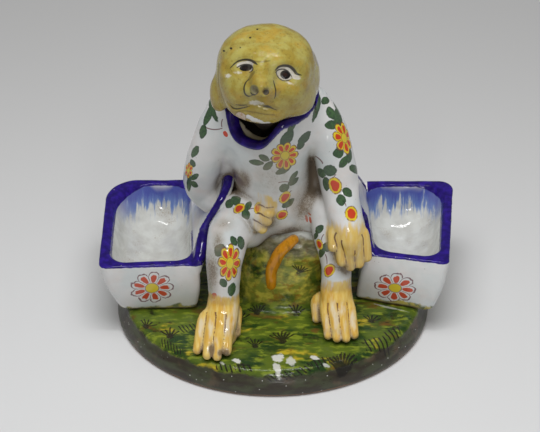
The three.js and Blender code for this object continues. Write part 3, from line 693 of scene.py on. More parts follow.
def bloom(paint, colour, mark, petal_colour, red, line_colour, bare):
    """A flower of separate petals, each with a red drop, round a yellow eye. Bare is how much of
    the ground shows through the petals."""
    u, v, petals = mark
    wobble = (paint.noise(2.2, detail=2, shift=37) - 0.5) * 0.16
    far = (u * u + v * v).power(0.5)
    turn = paint.sum("ARCTAN2", v, u)
    lobes = paint.sum("COSINE", (turn + wobble * 0.9) * petals * 0.5).size()
    edge = 0.62 + wobble * 1.4 + lobes.power(0.42) * 0.38
    petal = (far - edge).rise(0.02, -0.05) * far.rise(0.22, 0.3)
    outline = (far - edge + 0.03).size().rise(0.055, 0.02)
    gap = lobes.rise(0.18, 0.06) * far.rise(0.32, 0.4) * (far - edge).rise(0.03, 0.0)
    along = (far - 0.58 + wobble) * 4.6
    beside = (1.0 - lobes) * (far + 0.35) * 2.7
    drop = (along * along + beside * beside).power(0.5) + wobble * 2.2
    eye = far + wobble * 0.5
    return paint.coats(
        colour,
        (petal * (1.0 - bare), petal_colour),
        (outline.most(gap * 0.9) * far.rise(0.25, 0.32) * 0.9, line_colour),
        (drop.rise(1.2, 0.95), red),
        ((eye - 0.3).size().rise(0.045, 0.015) * 0.8, line_colour),
        (eye.rise(0.31, 0.27), (0.66, 0.52, 0.04)))


def brushed(points, salt):
    """How far each point lies outside the blue of the rim and outside the blue of the wing's edge."""
    z = points[:, 2]
    side = salt["side"]
    wall = four_sided(points, salt, up_the_box(points), [width / 2 for width in SALT["walls"]], 3.0)
    lap = 1.0 + 2.2 * np.clip((side * points[:, 0] - 72) / 10, 0, 1)
    rim = rim_level(points, salt) - z - np.where(wall > 0, 0.9, lap)
    x, low, top_x, top, step = wing_lines(points, salt)
    by_wing = (side * (points[:, 0] - x) < 3.5) & (step > 13 + 4 * side)
    rim = np.maximum(rim, np.where(by_wing, np.maximum((step - 27) * 0.1, z - low - 0.6), -9.0))
    wing = np.hypot(points[:, 0] - top_x - side * 0.8, z - top + WING_HALF - 0.4) - 3.4
    wing = np.maximum(wing, side * (top_x - points[:, 0]) - 1.9)
    return rim, np.where((step > 1) & (step < WING_EDGE[-1][0]), wing, 20.0)


glazed = Paint("salt_glaze")
within = glazed.kept("within").rise(0.3, -0.3)
pale = glazed.mix(glazed.noise(7, shift=19).rise(0.3, 0.7), (0.50, 0.50, 0.47), (0.60, 0.61, 0.58))
powder = glazed.noise(0.7, detail=4, rough=0.8, shift=2).rise(0.46, 0.68)
dust = glazed.noise(10, shift=23).rise(0.5, 0.72) * powder * within
bristles = glazed.noise(1.3, (1.0, 6.0, 9.0), 3, shift=51) + glazed.noise(5.0, (1.0, 6.0, 6.0), 2, shift=57)
drop = glazed.kept("drop")
feather = (bristles * 26.0 - 14.5 - drop).rise(-2.5, 2.5) * glazed.kept("back_wall").rise(0.1, 0.6) * within
wet = glazed.mix((bristles * 12.0 - drop).rise(0.0, 9.0), (0.10, 0.20, 0.48), (0.022, 0.045, 0.34))
colour = glazed.coats(tin_white(glazed), (within, pale), (dust * 0.85, (0.25, 0.165, 0.085)),
                      (feather * 0.9, wet))
colour = bloom(glazed, colour, glazed.kept_place("bloom"), petal_colour=(0.70, 0.69, 0.68),
               red=(0.52, 0.075, 0.035), line_colour=(0.13, 0.03, 0.045), bare=0.6)
dabs = (glazed.z + (glazed.noise(7, shift=81) - 0.5) * 9.0).rise(17.0, 15.4)
dab_colour = glazed.mix(glazed.noise(4, shift=83).rise(0.45, 0.6), (0.45, 0.36, 0.03), (0.10, 0.13, 0.02))
colour = shade_and_dirt(glazed, glazed.mix(dabs * 0.9, colour, dab_colour))
hand_drawn = (glazed.noise(2.6, shift=61) - 0.5) * 0.9
blue = (glazed.kept("rim").least(glazed.kept("wing")) + hand_drawn).rise(0.2, -0.15)
colour = glazed.coats(colour, (blue, cobalt(glazed)),
                      (glazed.specks(5.2, 0.06, 3.0) * blue, (0.45, 0.42, 0.38)))
ripple = glazed.noise(2.4, shift=17)
salt_glaze = glazed.fire(colour, ripple * 0.1 + 0.03,
                         glazed.noise(8, detail=2) * 0.8 + ripple * 0.12 + blue * 0.3, 0.4)

for salt in SALTS:
    clay = lambda p, salt=salt: salt_clay(p, salt)
    box, points, normal, quads = skin(salt["name"], clay, salt["low"], salt["high"], step=0.8)
    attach(box, "figure")
    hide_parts(*salt["nodes"])
    keep_stamps(box, clay, points, quads, "bloom", [salt["front_bloom"]], [salt["back_bloom"]])
    z = points[:, 2]
    well = four_sided(points, salt, up_the_box(points), SALT["walls"])
    rim, wing = brushed(points, salt)
    note(box, rim=rim, wing=wing,
         within=np.where(z > SALT["floor"] - 2, well, 9.0),
         drop=rim_level(points, salt) - z,
         back_wall=np.clip((points[:, 1] - 20) / 20, 0, 1) * np.clip(1 - np.abs(normal[:, 2]), 0, 1),
         shut=crevice(lambda p, clay=clay: np.minimum(base_clay(p), clay(p)), points, normal))
    box.data.materials.append(salt_glaze)


# Monkey. The body is a hollow pear with an open neck; arms, legs and tail are rolls of clay luted
# on, with pinched fingers and toes. White tin glaze, with painted flowers, ochre hands and feet.
# The body's stations are height, x, y, half width and half depth; a roll's are x, y, z and radius.
BODY = [(40, 0, 12, 13.5, 11), (46, 0, 11, 19.1, 14.5), (54, -1, 9.5, 20.5, 19.1),
        (62, -2.5, 8.5, 19.5, 21.3), (73, -4, 8, 19, 22), (86, -5, 7.5, 19.8, 22),
        (97, -5.75, 7.5, 22.25, 21.25), (107, -6, 7, 25.5, 20.5), (117, -5.3, 6.5, 24.0, 21.5),
        (127, -5, 6, 22.4, 21.8)]
BODY_WALL, CAVITY_FLOOR, SEAT = 4.5, 56.0, 40.0
LIP = {"x": -5.0, "y": 6.0, "half_width": 23.5, "half_depth": 22.5, "height": 129.6, "tilt": 5.3,
       "tilt_angle": 80.0, "dip": 11.4, "dip_angle": -120.0, "spread": 34.0, "inner": 5.0,
       "width": 4.2, "dip_width": 6.4, "thickness": 4.0}
RIGHT_ARM = [(-27, 8, 117, 9.3), (-32.5, 6.5, 103, 9.9), (-37.5, 7, 88, 9.3), (-40.5, 10, 74, 8.7),
             (-38, 13, 64, 8.3), (-31, 6, 62.5, 8.1), (-24, -2, 66, 7.7), (-17.5, -9, 70, 6.6)]
RIGHT_WEB = [(-24, 4, 112, 6.5), (-25.5, 4, 100, 6.5), (-27, 8, 89, 6), (-28, 12, 79, 6.5),
             (-27, 14, 70, 7)]
LEFT_WEB = [(15, 10, 113, 6), (16.5, 9.5, 100, 6), (17.5, 10, 89, 5), (18.5, 9.5, 76, 6)]
LEFT_ARM = [(15.5, 9, 119, 9), (21.5, 5, 108, 10.2), (25.4, 2, 95.5, 10.2), (27.7, -0.8, 86, 9.9),
            (29.5, -4, 77.4, 9.3), (31, -10.5, 69.5, 8.9), (33, -15, 64, 8.2)]
RIGHT_LEG = [(-9, 7, 49, 12.5), (-18, -4, 56, 12), (-25, -14.5, 59.5, 10.8), (-28, -22, 50, 9.4),
             (-28.5, -25, 39, 8.3), (-28.5, -27, 29, 7.6)]
LEFT_LEG = [(12, 6, 52, 12.5), (18, 1.5, 59, 11.5), (22.3, -3, 63, 10.2), (25, -9.5, 53.5, 9.2),
            (27.4, -15, 41.5, 7.9), (27.8, -19, 32.5, 7.6)]
# Radii at the root, the knuckle and the tip
FINGER, TOE = (3.4, 3.3, 2.75), (5.0, 3.4, 2.3)
RIGHT_PALM = [(-17, -9.5, 70, 5.8), (-12, -12, 69.5, 6.2)]
RIGHT_KNUCKLES = [(-11.3, -9.5, 74.4), (-10.3, -12.5, 71.8), (-11.0, -14.5, 68.8), (-12.8, -15.5, 66)]
RIGHT_TIPS = [(-6.9, -11.5, 74.6), (-6.0, -13.8, 71.0), (-7.2, -15.4, 66.8), (-9.4, -16.4, 63.0)]
LEFT_PALM = [(33.2, -15.5, 63.5, 7.4), (33.8, -18.3, 59.5, 7.2), (34.2, -19.4, 55, 6)]
LEFT_KNUCKLES = [(26.6, -17, 62), (29, -19.5, 60), (33, -21, 59.5), (37, -20, 59.5), (40, -17.5, 60.5)]
LEFT_TIPS = [(25.9, -21.3, 55.6), (30.3, -23, 47.5), (34.4, -23, 44.6), (38.8, -22, 45.6), (42.6, -20, 48)]
FEET = [
    {"x": -30.3, "y": -37, "half_width": 9, "half_length": 14, "ankle": (-28.7, -28.5), "size": 6.4,
     "top": 29, "knuckles": [(-38.6, -37.5, 20.6), (-34.2, -38.5, 22), (-30.2, -38, 22.3),
                             (-26.3, -36.5, 22), (-22.8, -31, 20.5)],
     "tips": [(-41.3, -53.7, 15.9), (-36.5, -57.8, 16), (-31.5, -58.6, 16), (-26.8, -54.9, 16),
              (-22.1, -41, 15.9)]},
    {"x": 28.7, "y": -29, "half_width": 8.6, "half_length": 12, "ankle": (27.6, -20.5), "size": 6.8,
     "top": 31, "knuckles": [(22.8, -31, 22), (26.2, -32, 23), (30.1, -31.5, 23), (34.3, -29.5, 22),
                             (18.6, -22.5, 20.5)],
     "tips": [(23.6, -42.9, 15.9), (27.8, -45.2, 16), (32.3, -45.2, 16), (36.4, -42.3, 15.9),
              (17.9, -30, 15.9)]},
]
# Up a foot: the share of its height, how far it has moved to the ankle, and the share of its width
FOOT_LEVELS = [(0, 0, 0.93), (0.12, 0.02, 1), (0.45, 0.25, 0.88), (0.75, 0.75, 0.6), (1, 1, 0)]
GROOVE = {"half": 1.9, "y": 0.2, "z": 121.5, "reach": 21.4}
LEDGE = {"reach": 3.3, "from_edge": 1.7, "below": 3.4, "half": 1.2, "round": 0.8}
# Fillets where one piece of clay is luted to another
LUTED = {"leg": 5.0, "web": 5.0, "elbow": 1.6, "shoulder": 5.0, "digit": 0.9, "toe": 1.0, "ankle": 3.5,
         "hand": 2.0, "tail": 1.5, "neck": 1.2, "lip": 1.6, "ledge": 1.0}


def roll(points, stations, steps=6, reach=12.0):
    """Distance to a roll of clay along stations of x, y, z and radius, less than 0 inside it."""
    path = path_of(stations, steps)
    far = path[:, 3].max() + reach
    out = np.full(len(points), reach)
    close = np.all((points > path[:, :3].min(0) - far) & (points < path[:, :3].max(0) + far), axis=1)
    if not close.any():
        return out
    p = points[close]
    best = np.full(len(p), reach)
    for a, b in zip(path, path[1:]):
        step = b - a
        t = np.clip((p - a[:3]) @ step[:3] / max(step[:3] @ step[:3], 1e-9), 0, 1)
        gap = np.linalg.norm(p - a[:3] - t[:, None] * step[:3], axis=1)
        best = np.minimum(best, gap - (a[3] + t * step[3]))
    out[close] = best
    return out


def off_oval(dx, dy, rx, ry):
    """Distance to an oval of these half widths, and the share of the way out to it."""
    ring = np.hypot(dx / rx, dy / ry)
    lean = np.hypot(dx / rx ** 2, dy / ry ** 2)
    return (ring - 1.0) * ring / np.maximum(lean, 1e-6), ring


def thrown(points, stations, inset=0.0):
    """Distance to the side of an upright oval form: stations of z, x, y, half width, half depth."""
    path = path_of(stations, 5)
    x, y, rx, ry = (np.interp(points[:, 2], path[:, 0], path[:, k]) for k in (1, 2, 3, 4))
    gap, ring = off_oval(points[:, 0] - x, points[:, 1] - y, rx - inset, ry - inset)
    return np.where(ring > 0.3, gap, -0.7 * np.minimum(rx - inset, ry - inset))


def pinch(field, spots, radius, proud):
    """Rolls of clay pressed on at picture points, standing this far proud of the surface."""
    at, normal, _, _ = touch(field, spots)
    radius, proud = np.broadcast_to(radius, len(spots)), np.broadcast_to(proud, len(spots))
    centres = at - normal * (radius - proud)[:, None]
    return np.column_stack([centres, radius])


TAIL = pinch(base_clay,
             [(293.5, 240), (287, 245), (280.5, 251), (275, 260.5), (271.8, 272), (271.6, 284)],
             [2.7, 3.0, 3.2, 3.1, 2.9, 2.3], [4.6, 5.2, 5.6, 5.4, 5.0, 3.8])


def digit_rolls(knuckles, tips, roots, size):
    return [[(*root, size[0]), (*knuckle, size[1]), (*tip, size[2])]
            for root, knuckle, tip in zip(roots, knuckles, tips)]


def halfway(points, end):
    return [tuple((np.array(point) + np.array(end)) / 2) for point in points]


FINGERS = [digit_rolls(RIGHT_KNUCKLES, RIGHT_TIPS, halfway(RIGHT_KNUCKLES, RIGHT_PALM[-1][:3]), FINGER),
           digit_rolls(LEFT_KNUCKLES, LEFT_TIPS, halfway(LEFT_KNUCKLES, LEFT_PALM[-1][:3]), FINGER)]
TOES = []
for foot in FEET:
    roots = [(x, y, (GROUND + foot["top"]) / 2)
             for x, y, _ in halfway(foot["knuckles"], (*foot["ankle"], GROUND))]
    TOES.append(digit_rolls(foot["knuckles"], foot["tips"], roots, TOE))


def round_neck(points):
    """How far each point is outside the lip's inner edge and above its top, and how much of the
    dip it is in, from 0 to 1."""
    dx, dy = points[:, 0] - LIP["x"], points[:, 1] - LIP["y"]
    angle = np.degrees(np.arctan2(dy / LIP["half_depth"], dx / LIP["half_width"]))
    turn = (angle - LIP["dip_angle"] + 180) % 360 - 180
    dip = np.exp(-((turn / LIP["spread"]) ** 4))
    top = LIP["height"] + LIP["tilt"] * np.cos(np.radians(angle - LIP["tilt_angle"])) - LIP["dip"] * dip
    rx, ry = LIP["half_width"] - LIP["inner"], LIP["half_depth"] - LIP["inner"]
    gap, _ = off_oval(dx, dy, rx, ry)
    return gap, points[:, 2] - top, dip


def lip_clay(points):
    out, up, dip = round_neck(points)
    across = (LIP["width"] + (LIP["dip_width"] - LIP["width"]) * dip) / 2
    half = LIP["thickness"] / 2
    return (np.hypot((out - across) / across, (up + half) / half) - 1) * half * 1.2


def ledge_clay(points):
    """The ledge inside the open dip of the lip."""
    out, up, dip = round_neck(points)
    reach = LEDGE["reach"] * dip
    across = np.abs(out - LEDGE["from_edge"] + reach) - reach
    return turned(across, np.abs(up + LEDGE["below"]) - LEDGE["half"], LEDGE["round"])


def foot_clay(points, foot):
    z = points[:, 2]
    levels = np.array([GROUND + level * (foot["top"] - GROUND) for level, _, _ in FOOT_LEVELS])
    ends = np.array([foot["x"], foot["y"]]), np.array(foot["ankle"])
    stations = [(level, *(ends[0] + shift * (ends[1] - ends[0])),
                 foot["size"] + size * (foot["half_width"] - foot["size"]),
                 foot["size"] + size * (foot["half_length"] - foot["size"]))
                for level, (_, shift, size) in zip(levels, FOOT_LEVELS)]
    side = thrown(points, stations)
    return turned(turned(side, z - foot["top"], 3.0), GROUND - 0.6 - z, 1.0)


def joined(fields, width):
    total = fields[0]
    for extra in fields[1:]:
        total = flow(total, extra, width)
    return total


def hollow_clay(points):
    """Distance to the body's hollow, less than 0 inside it."""
    return turned(thrown(points, BODY, BODY_WALL), CAVITY_FLOOR - points[:, 2], 6.0)


HANDS = [lambda p: joined([roll(p, r, 4) for r in [RIGHT_PALM] + FINGERS[0]], LUTED["digit"]),
         lambda p: joined([roll(p, r, 4) for r in [LEFT_PALM] + FINGERS[1]], LUTED["digit"])]
SOLES = [lambda p: joined([foot_clay(p, FEET[0])] + [roll(p, r, 4) for r in TOES[0]], LUTED["toe"]),
         lambda p: joined([foot_clay(p, FEET[1])] + [roll(p, r, 4) for r in TOES[1]], LUTED["toe"])]


def monkey_clay(points):
    z = points[:, 2]
    trunk = turned(thrown(points, BODY), SEAT - z, 6.0)
    for limb in (RIGHT_LEG, LEFT_LEG):
        trunk = flow(trunk, roll(points, limb), LUTED["leg"])
    soft = LUTED["elbow"] + (LUTED["shoulder"] - LUTED["elbow"]) * np.clip((z - 90) / 20, 0, 1)
    for arm, web in ((RIGHT_ARM, RIGHT_WEB), (LEFT_ARM, LEFT_WEB)):
        trunk = flow(flow(trunk, roll(points, web), LUTED["web"]), roll(points, arm), soft)
    for sole in SOLES:
        trunk = flow(trunk, sole(points), LUTED["ankle"])
    trunk = flow(trunk, np.minimum(*[hand(points) for hand in HANDS]), LUTED["hand"])
    trunk = flow(trunk, roll(points, TAIL), LUTED["tail"])
    trunk = trunk + 0.22 * uneven(points, 21, 7)
    _, up, _ = round_neck(points)
    trunk = turned(trunk, np.where(z > 100, up + 2.0, z - 110), 1.0)
    pot = flow(carve(trunk, hollow_clay(points), LUTED["neck"]), lip_clay(points), LUTED["lip"])
    pot = flow(pot, ledge_clay(points), LUTED["ledge"])
    groove = np.maximum(np.maximum(np.abs(points[:, 1] - GROOVE["y"]), GROOVE["z"] - z) - GROOVE["half"],
                        np.abs(points[:, 0] - LIP["x"]) - GROOVE["reach"])
    return np.maximum(pot, -groove)


monkey, points, normal, quads = skin("monkey_figure", monkey_clay, (-53, -64, 11.5), (48, 34, 138),
                                     step=0.8)
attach(monkey, "figure")
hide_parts("body_pot", "neck_lip", "right_leg", "left_leg", "right_foot", "left_foot",
            "right_arm", "left_arm", "right_hand", "left_hand", "tail")

# Marks in picture points: x, y, half length, half width, angle, kind. A leaf's kind is a shade from
# 0 to 1, a bloom's is its number of petals, a bud's is 0 with a yellow rim or 1 for a plain red dab,
# and a stem's is how far it bows, in its own half widths.
LEAVES = [
    (208.6, 114.4, 12, 3.4, 68, .3), (202.7, 131.4, 7.2, 3.7, 80, .5), (194.8, 151.6, 6.4, 3.4, 64, .2),
    (192.5, 163.4, 4.4, 2.7, -65, .6), (194.6, 177, 4.8, 2.8, 35, .3), (194.2, 184.3, 4.6, 2.8, -40, .5),
    (189, 183.5, 9, 2.6, 85, .4), (287, 138.5, 9.5, 5, 50, .8), (304.6, 137.9, 8.8, 4, 48, 1),
    (301, 144.5, 6, 3.4, 60, .9), (256.3, 162.5, 7.4, 3, -8, .3), (264, 158, 5.8, 3.2, -25, .6),
    (268, 166, 6, 3.6, 40, .4), (283.7, 170, 9, 3.3, 28, .5), (293.5, 177, 7.6, 2.5, 55, .6),
    (293.5, 181.7, 6.8, 2.8, 37, .8), (284.4, 188.2, 5.5, 4.2, 20, .4), (288.3, 203.3, 7.4, 3.4, 36, .5),
    (325.5, 100.5, 4.4, 3.8, 30, .3), (331.4, 113, 7.2, 4.3, -60, .2), (338.6, 117, 9, 3.8, -72, .5),
    (332, 124.8, 6.8, 4.6, 10, .3), (338.6, 153, 5.6, 5.2, 20, .4), (349.4, 156, 7.2, 3, 85, .6),
    (343.9, 162, 6.8, 3.7, 58, .3), (329.7, 170.6, 7, 5.7, -10, .7), (321, 173.2, 5.8, 3.8, -55, .4),
    (326.2, 183.7, 7, 3.8, -80, .5), (347.4, 192.2, 5.8, 4.2, -45, .3), (341, 200, 5.9, 4.8, -75, .4),
    (355.2, 169.3, 5.5, 3.4, -55, .6), (235.4, 200, 5.4, 4.6, 30, .2), (229.5, 203.3, 5.4, 4.2, 60, .5),
    (248.2, 205.9, 5.4, 3.2, 62, .3), (245.8, 214.4, 5.4, 4.4, -70, .4), (234, 241, 5.4, 3.4, -60, .3),
    (241.2, 243, 6.8, 3.8, -80, .5), (219.7, 250.3, 7, 5.7, 60, 1), (223.3, 283, 4.8, 3.8, -60, .6),
    (232, 289.5, 6.9, 4, 75, .3), (319, 229.4, 5.4, 3.7, 50, .5), (327.5, 247, 6.2, 4.8, 0, .4),
    (321.6, 252.3, 6.4, 3.2, 65, .6), (315.5, 236, 4, 2.2, 70, .8)]
BLOOMS = [(285, 155.6, 14.2, 13.2, 40, 9), (230.1, 263.4, 18.5, 11.5, 86, 8), (344.5, 138, 16, 8, -78, 7),
          (188.3, 170.5, 8, 4, 84, 6)]
BUDS = [(285, 197.4, 6.8, 4.4, 48, 0), (282, 215, 6.2, 4.3, 25, 0), (335, 185.6, 8.2, 6.2, -70, 0),
        (351.7, 213.7, 7.4, 6, -85, 0), (238.6, 208.5, 6, 4.2, 35, 0), (257.6, 207.8, 5.4, 3.4, 80, 0),
        (319.3, 244.4, 5.4, 3.2, -80, 0), (328.8, 270.6, 6.8, 5.2, 60, 0), (225.5, 134, 3.2, 2, -60, 1),
        (213.8, 295.9, 3.2, 2.6, 80, 1), (214.8, 303.2, 3.2, 2.6, 20, 1), (306.6, 218.5, 3.8, 1.3, -78, 1),
        (310.3, 220, 3.4, 1.2, -75, 1), (309.5, 214, 2.2, 0.9, -40, 1)]
STEMS = [(213.5, 127.5, 9, .6, -4, -3.2), (222.4, 123, 4, .55, 84, 1.5), (318.7, 160, 5.6, .55, -45, 2),
         (284, 182.8, 5.6, .45, 3, 2.2), (289.6, 194, 4, .5, 60, 1.5), (287.5, 208.5, 3, .45, 75, 1.5),
         (326.2, 259, 5, .5, -80, 1), (334, 178, 4, .45, 60, 1.5), (344.3, 203.5, 3.5, .5, -60, 1.5),
         (251.8, 209, 3, .5, 10, 1), (322.5, 238, 4, .5, 70, 1.5), (236, 251, 3.4, .45, 70, 1),
         (316.5, 96, 5, .45, -50, 1.5), (318, 101, 4, .4, 60, 1)]
BACK_LEAVES = [(232, 118, 9, 3.8, 120, .4), (243, 128, 7, 4, 40, .3), (252, 112, 7, 3.8, -60, .5),
               (300, 150, 7, 4, 60, .3), (288, 166, 7.5, 3.6, 20, .6), (262, 152, 7, 3.4, -40, .4),
               (270, 184, 8, 3.8, 70, .3), (282, 196, 7, 4, -20, .7), (330, 128, 8, 3.8, 80, .4),
               (336, 150, 7, 3.8, 120, .3), (202, 140, 7, 3.6, 80, .5), (206, 160, 7, 3.6, 60, .4)]
BACK_BLOOMS = [(275, 160, 13, 12, 20, 9), (322, 158, 8, 7, 60, 7)]
BACK_BUDS = [(276, 206, 6.5, 4.6, 60, 0), (248, 136, 5.5, 4, 30, 0), (204, 150, 5.5, 4, 70, 0)]
BACK_STEMS = [(262, 132, 10, .55, -50, 2.5), (276, 178, 8, .55, 85, 2), (206, 148, 9, .5, 85, -2)]

for name, front, behind in (("leaf", LEAVES, BACK_LEAVES), ("bloom", BLOOMS, BACK_BLOOMS),
                            ("bud", BUDS, BACK_BUDS), ("stem", STEMS, BACK_STEMS)):
    keep_stamps(monkey, monkey_clay, points, quads, name, front, behind)


def between(points, rolls):
    """How much nearer the nearest of some digits is than the next one, beyond the knuckles."""
    gaps = np.sort([roll(points, stations[1:], 4) for stations in rolls], 0)
    return np.where(gaps[0] < 1.6, gaps[1] - gaps[0], 9.0)


# Where the ochre wash starts on each hand and foot, and which way it runs
WRISTS = [((-10.5, -12, 70), (0.92, -0.35, -0.15)), ((33, -14, 66.5), (0.1, -0.35, -0.93)),
          ((-28.5, -28, 32.5), (-0.1, -0.65, -0.75)), ((27.6, -20.5, 33.5), (0.05, -0.65, -0.75))]
line, wash, far_out = np.full(len(points), 9.0), np.full(len(points), -20.0), np.zeros(len(points))
for digits, (centre, way), limb in zip(FINGERS + TOES, WRISTS, HANDS + SOLES):
    line = np.minimum(line, between(points, digits))
    beyond = (points - np.array(centre)) @ np.array(way)
    beyond = np.minimum(beyond, (1.5 - np.minimum(limb(points), limb(points - [0, 0, 4.0]))) * 5.0)
    wash = np.maximum(wash, beyond)
    if digits in TOES:
        far_out = np.where(beyond > 0, beyond, far_out)
# Painted shade and ingrained grime, as x, y, half width, half height and strength in picture points: dark
# spots in the creases and armpits, down the torso under the head, and round the toes
SHADE_AND_GRIME = [(241, 181, 13, 13, 1.1), (237, 174, 7, 8, .8), (313, 182, 5, 16, .7),
         (305, 208, 8, 14, .3), (224, 224, 12, 9, .6), (218, 242, 8, 16, .7), (212, 272, 9, 26, .9),
         (345, 270, 11, 9, .55), (333, 252, 6, 16, .4), (252, 194, 15, 12, .3), (312, 196, 8, 12, .5),
         (300, 205, 18, 26, .6), (268, 224, 26, 10, .5), (272, 178, 36, 34, .55), (236, 345, 8, 5, .4),
         (211, 349, 3.5, 5, 1.1), (220, 353, 3, 4, 1.2), (227, 352, 3, 4, 1.1), (230, 336, 5, 12, .4),
         (330, 331, 18, 4, .35), (355, 258, 14, 5, .3), (264, 213, 8, 12, .3), (238, 330, 4, 8, .7)]
# On the arm beside the wing the painted crease shade and grime are left off
NO_SHADE_OR_GRIME = [(209, 192, 13, 15, .75)]


def in_picture(points):
    """Picture points, x to the right and y down, of places on the object."""
    away = points - EYE
    depth = -(away @ BACKWARD)
    return np.stack([FRAME_W / 2 + ZOOM * (away @ SIDEWAYS) / depth,
                     FRAME_H / 2 - ZOOM * (away @ UPWARD) / depth], -1)


seen = in_picture(points)


def spots(marks):
    """Soft oval spots on the side that faces the camera."""
    total = np.zeros(len(points))
    for x, y, wide, tall, strength in marks:
        far = np.hypot((seen[:, 0] - x) / wide, (seen[:, 1] - y) / tall)
        total = np.maximum(total, strength * np.exp(-far ** 2) * (normal @ BACKWARD > -0.1))
    return total


def all_clay(points):
    salts = np.minimum(salt_clay(points, SALTS[0]), salt_clay(points, SALTS[1]))
    return np.minimum(np.minimum(monkey_clay(points), base_clay(points)), salts)


# How closed in each point is, which the paint turns into painted shade and grime
sheltered = crevice(all_clay, points, normal)
note(monkey, lip=lip_clay(points), deep=ledge_clay(points), inside=hollow_clay(points),
     tail=roll(points, TAIL), line=line, wash=wash, far_out=far_out,
     shut=sheltered * (1.0 - spots(NO_SHADE_OR_GRIME)) + spots(SHADE_AND_GRIME))


def flowers(paint, colour):
    """Leaves, blooms, buds and stems drawn where their marks were kept."""
    wobble = (paint.noise(1.5, detail=2, shift=31) - 0.5) * 0.3
    brush = paint.noise(1.2, detail=3, shift=35)
    purple, red, yellow = (0.14, 0.045, 0.05), (0.56, 0.055, 0.02), (0.70, 0.52, 0.03)
    u, v, bow = paint.kept_place("stem")
    stroke = (v - bow * (1.0 - u * u)).size().rise(1.2, 0.7) * u.size().rise(1.05, 0.9)
    u, v, shade = paint.kept_place("leaf")
    shape = (u * u + v * v * (u * u * 0.55 + 1.0)).power(0.5) + wobble
    green = paint.coats(paint.mix(brush.rise(0.35, 0.7), (0.010, 0.050, 0.010), (0.036, 0.122, 0.020)),
                        (shade * 0.6, (0.036, 0.058, 0.034)),
                        (shape.rise(0.62, 0.95) * 0.45, (0.012, 0.035, 0.014)))
    colour = paint.coats(colour, (stroke * 0.85, purple), (shape.rise(1.04, 0.94) * 0.95, green))
    colour = bloom(paint, colour, paint.kept_place("bloom"), yellow, red, purple, 0.0)
    u, v, plain = paint.kept_place("bud")
    shape = (u * u + v * v).power(0.5) + wobble * 0.6
    ring = shape.rise(0.86, 0.96) * shape.rise(1.12, 1.0) * brush.rise(0.4, 0.55)
    heart = (u * u * 1.1 + (v + u.size() * 0.22 - 0.05).power(2.0) * 1.2).power(0.5) + wobble
    return paint.coats(colour, (shape.rise(1.06, 0.97), paint.mix(plain, yellow, red)),
                       (ring * (1.0 - plain) * 0.8, purple), (heart.rise(0.8, 0.66), red))


white = Paint("painted_white_glaze")
streak = white.noise(1.5, (1.0, 5.0, 6.0), 3, shift=3)
uneven_edge = (streak - 0.5) * 16.0 + (white.noise(6, shift=44) - 0.5) * 6.0
washed = (white.kept("wash") + uneven_edge).rise(-2.5, 5.0)
thin = white.noise(3.0, (1, 4, 4), shift=5) + white.kept("far_out").rise(4.0, 20.0) * 0.16
yellow = white.coats(white.mix(streak.rise(0.36, 0.66), (0.60, 0.34, 0.030), (0.68, 0.49, 0.12)),
                     (thin.rise(0.56, 0.8) * 0.75, (0.66, 0.60, 0.46)),
                     (white.z.rise(40, 60) * 0.45, (0.80, 0.57, 0.15)))
drawn = white.kept("line").rise(0.55, 0.2) * white.kept("wash").rise(-2.0, 0.0)
orange = white.coats(white.mix(streak, (0.50, 0.17, 0.004), (0.62, 0.30, 0.012)),
                     (white.noise(2.2, (1, 1, 3), 4, shift=77).rise(0.5, 0.7) * 0.5, (0.16, 0.08, 0.008)))
colour = white.coats(flowers(white, tin_white(white)),
                     (washed * 0.95, yellow),
                     (drawn * (streak.rise(0.3, 0.5) * 0.4 + 0.5), (0.10, 0.035, 0.030)),
                     (white.kept("tail").rise(0.7, 0.35), orange))
# Inside the neck: pale clay on the ledge, and painted shade, near black, deeper in the hollow
bare = white.mix(white.noise(8, shift=9), (0.50, 0.45, 0.33), (0.66, 0.62, 0.50))
bare = white.mix(white.kept("deep").rise(1.0, 7.0), bare, (0.035, 0.030, 0.022))
collar = (white.kept("lip") + (white.noise(2.2, shift=8) - 0.5) * 0.9).rise(0.75, 0.35)
colour = white.coats(shade_and_dirt(white, colour), (white.kept("inside").rise(0.7, 0.2), bare),
                     (collar, cobalt(white)))
ripple = white.noise(2.2, shift=16)
monkey.data.materials.append(white.fire(
    colour, ripple * 0.1 + 0.03, white.noise(7, detail=2) * 0.8 + ripple * 0.12 + collar * 0.3, 0.4))


# Head. A separate hollow ball of clay with the face modelled on it, open below, with two ear lobes
# luted on. Ochre and olive glaze, with the eyes, brows and mouth drawn in manganese.
HEAD = {"x": -7.4, "y": -7.0, "z": 147.2, "half_width": 23.6, "half_depth": 23.0, "half_height": 21.6,
        "wall": 3.5, "bottom": 125.6, "neck_y": -0.5, "jaw": 1.3, "chin": 2.3, "square": 2.4,
        "opening": 9.5, "crown": 2.7}
# An ear's centre, half sizes and lean in degrees
EARS = [((-28.5, -8, 139.2), (5.4, 6.5, 11.8), 8), ((13.4, -2, 143.5), (4.6, 8, 11.5), -6)]
# How wide each form runs into the face
EASE = {"brow": 4.0, "socket": 3.0, "muzzle": 6.0, "chin": 3.0, "cheek": 6.0, "jowl": 3.0, "nose": 2.6,
        "wing": 1.6, "eye": 0.9, "nostril": 0.9, "mouth": 1.2, "right_ear": 1.6, "left_ear": 3.5,
        "ear_groove": 1.6}


def eased(values, low, high):
    t = np.clip((values - low) / (high - low), 0, 1)
    return t * t * (3 - 2 * t)


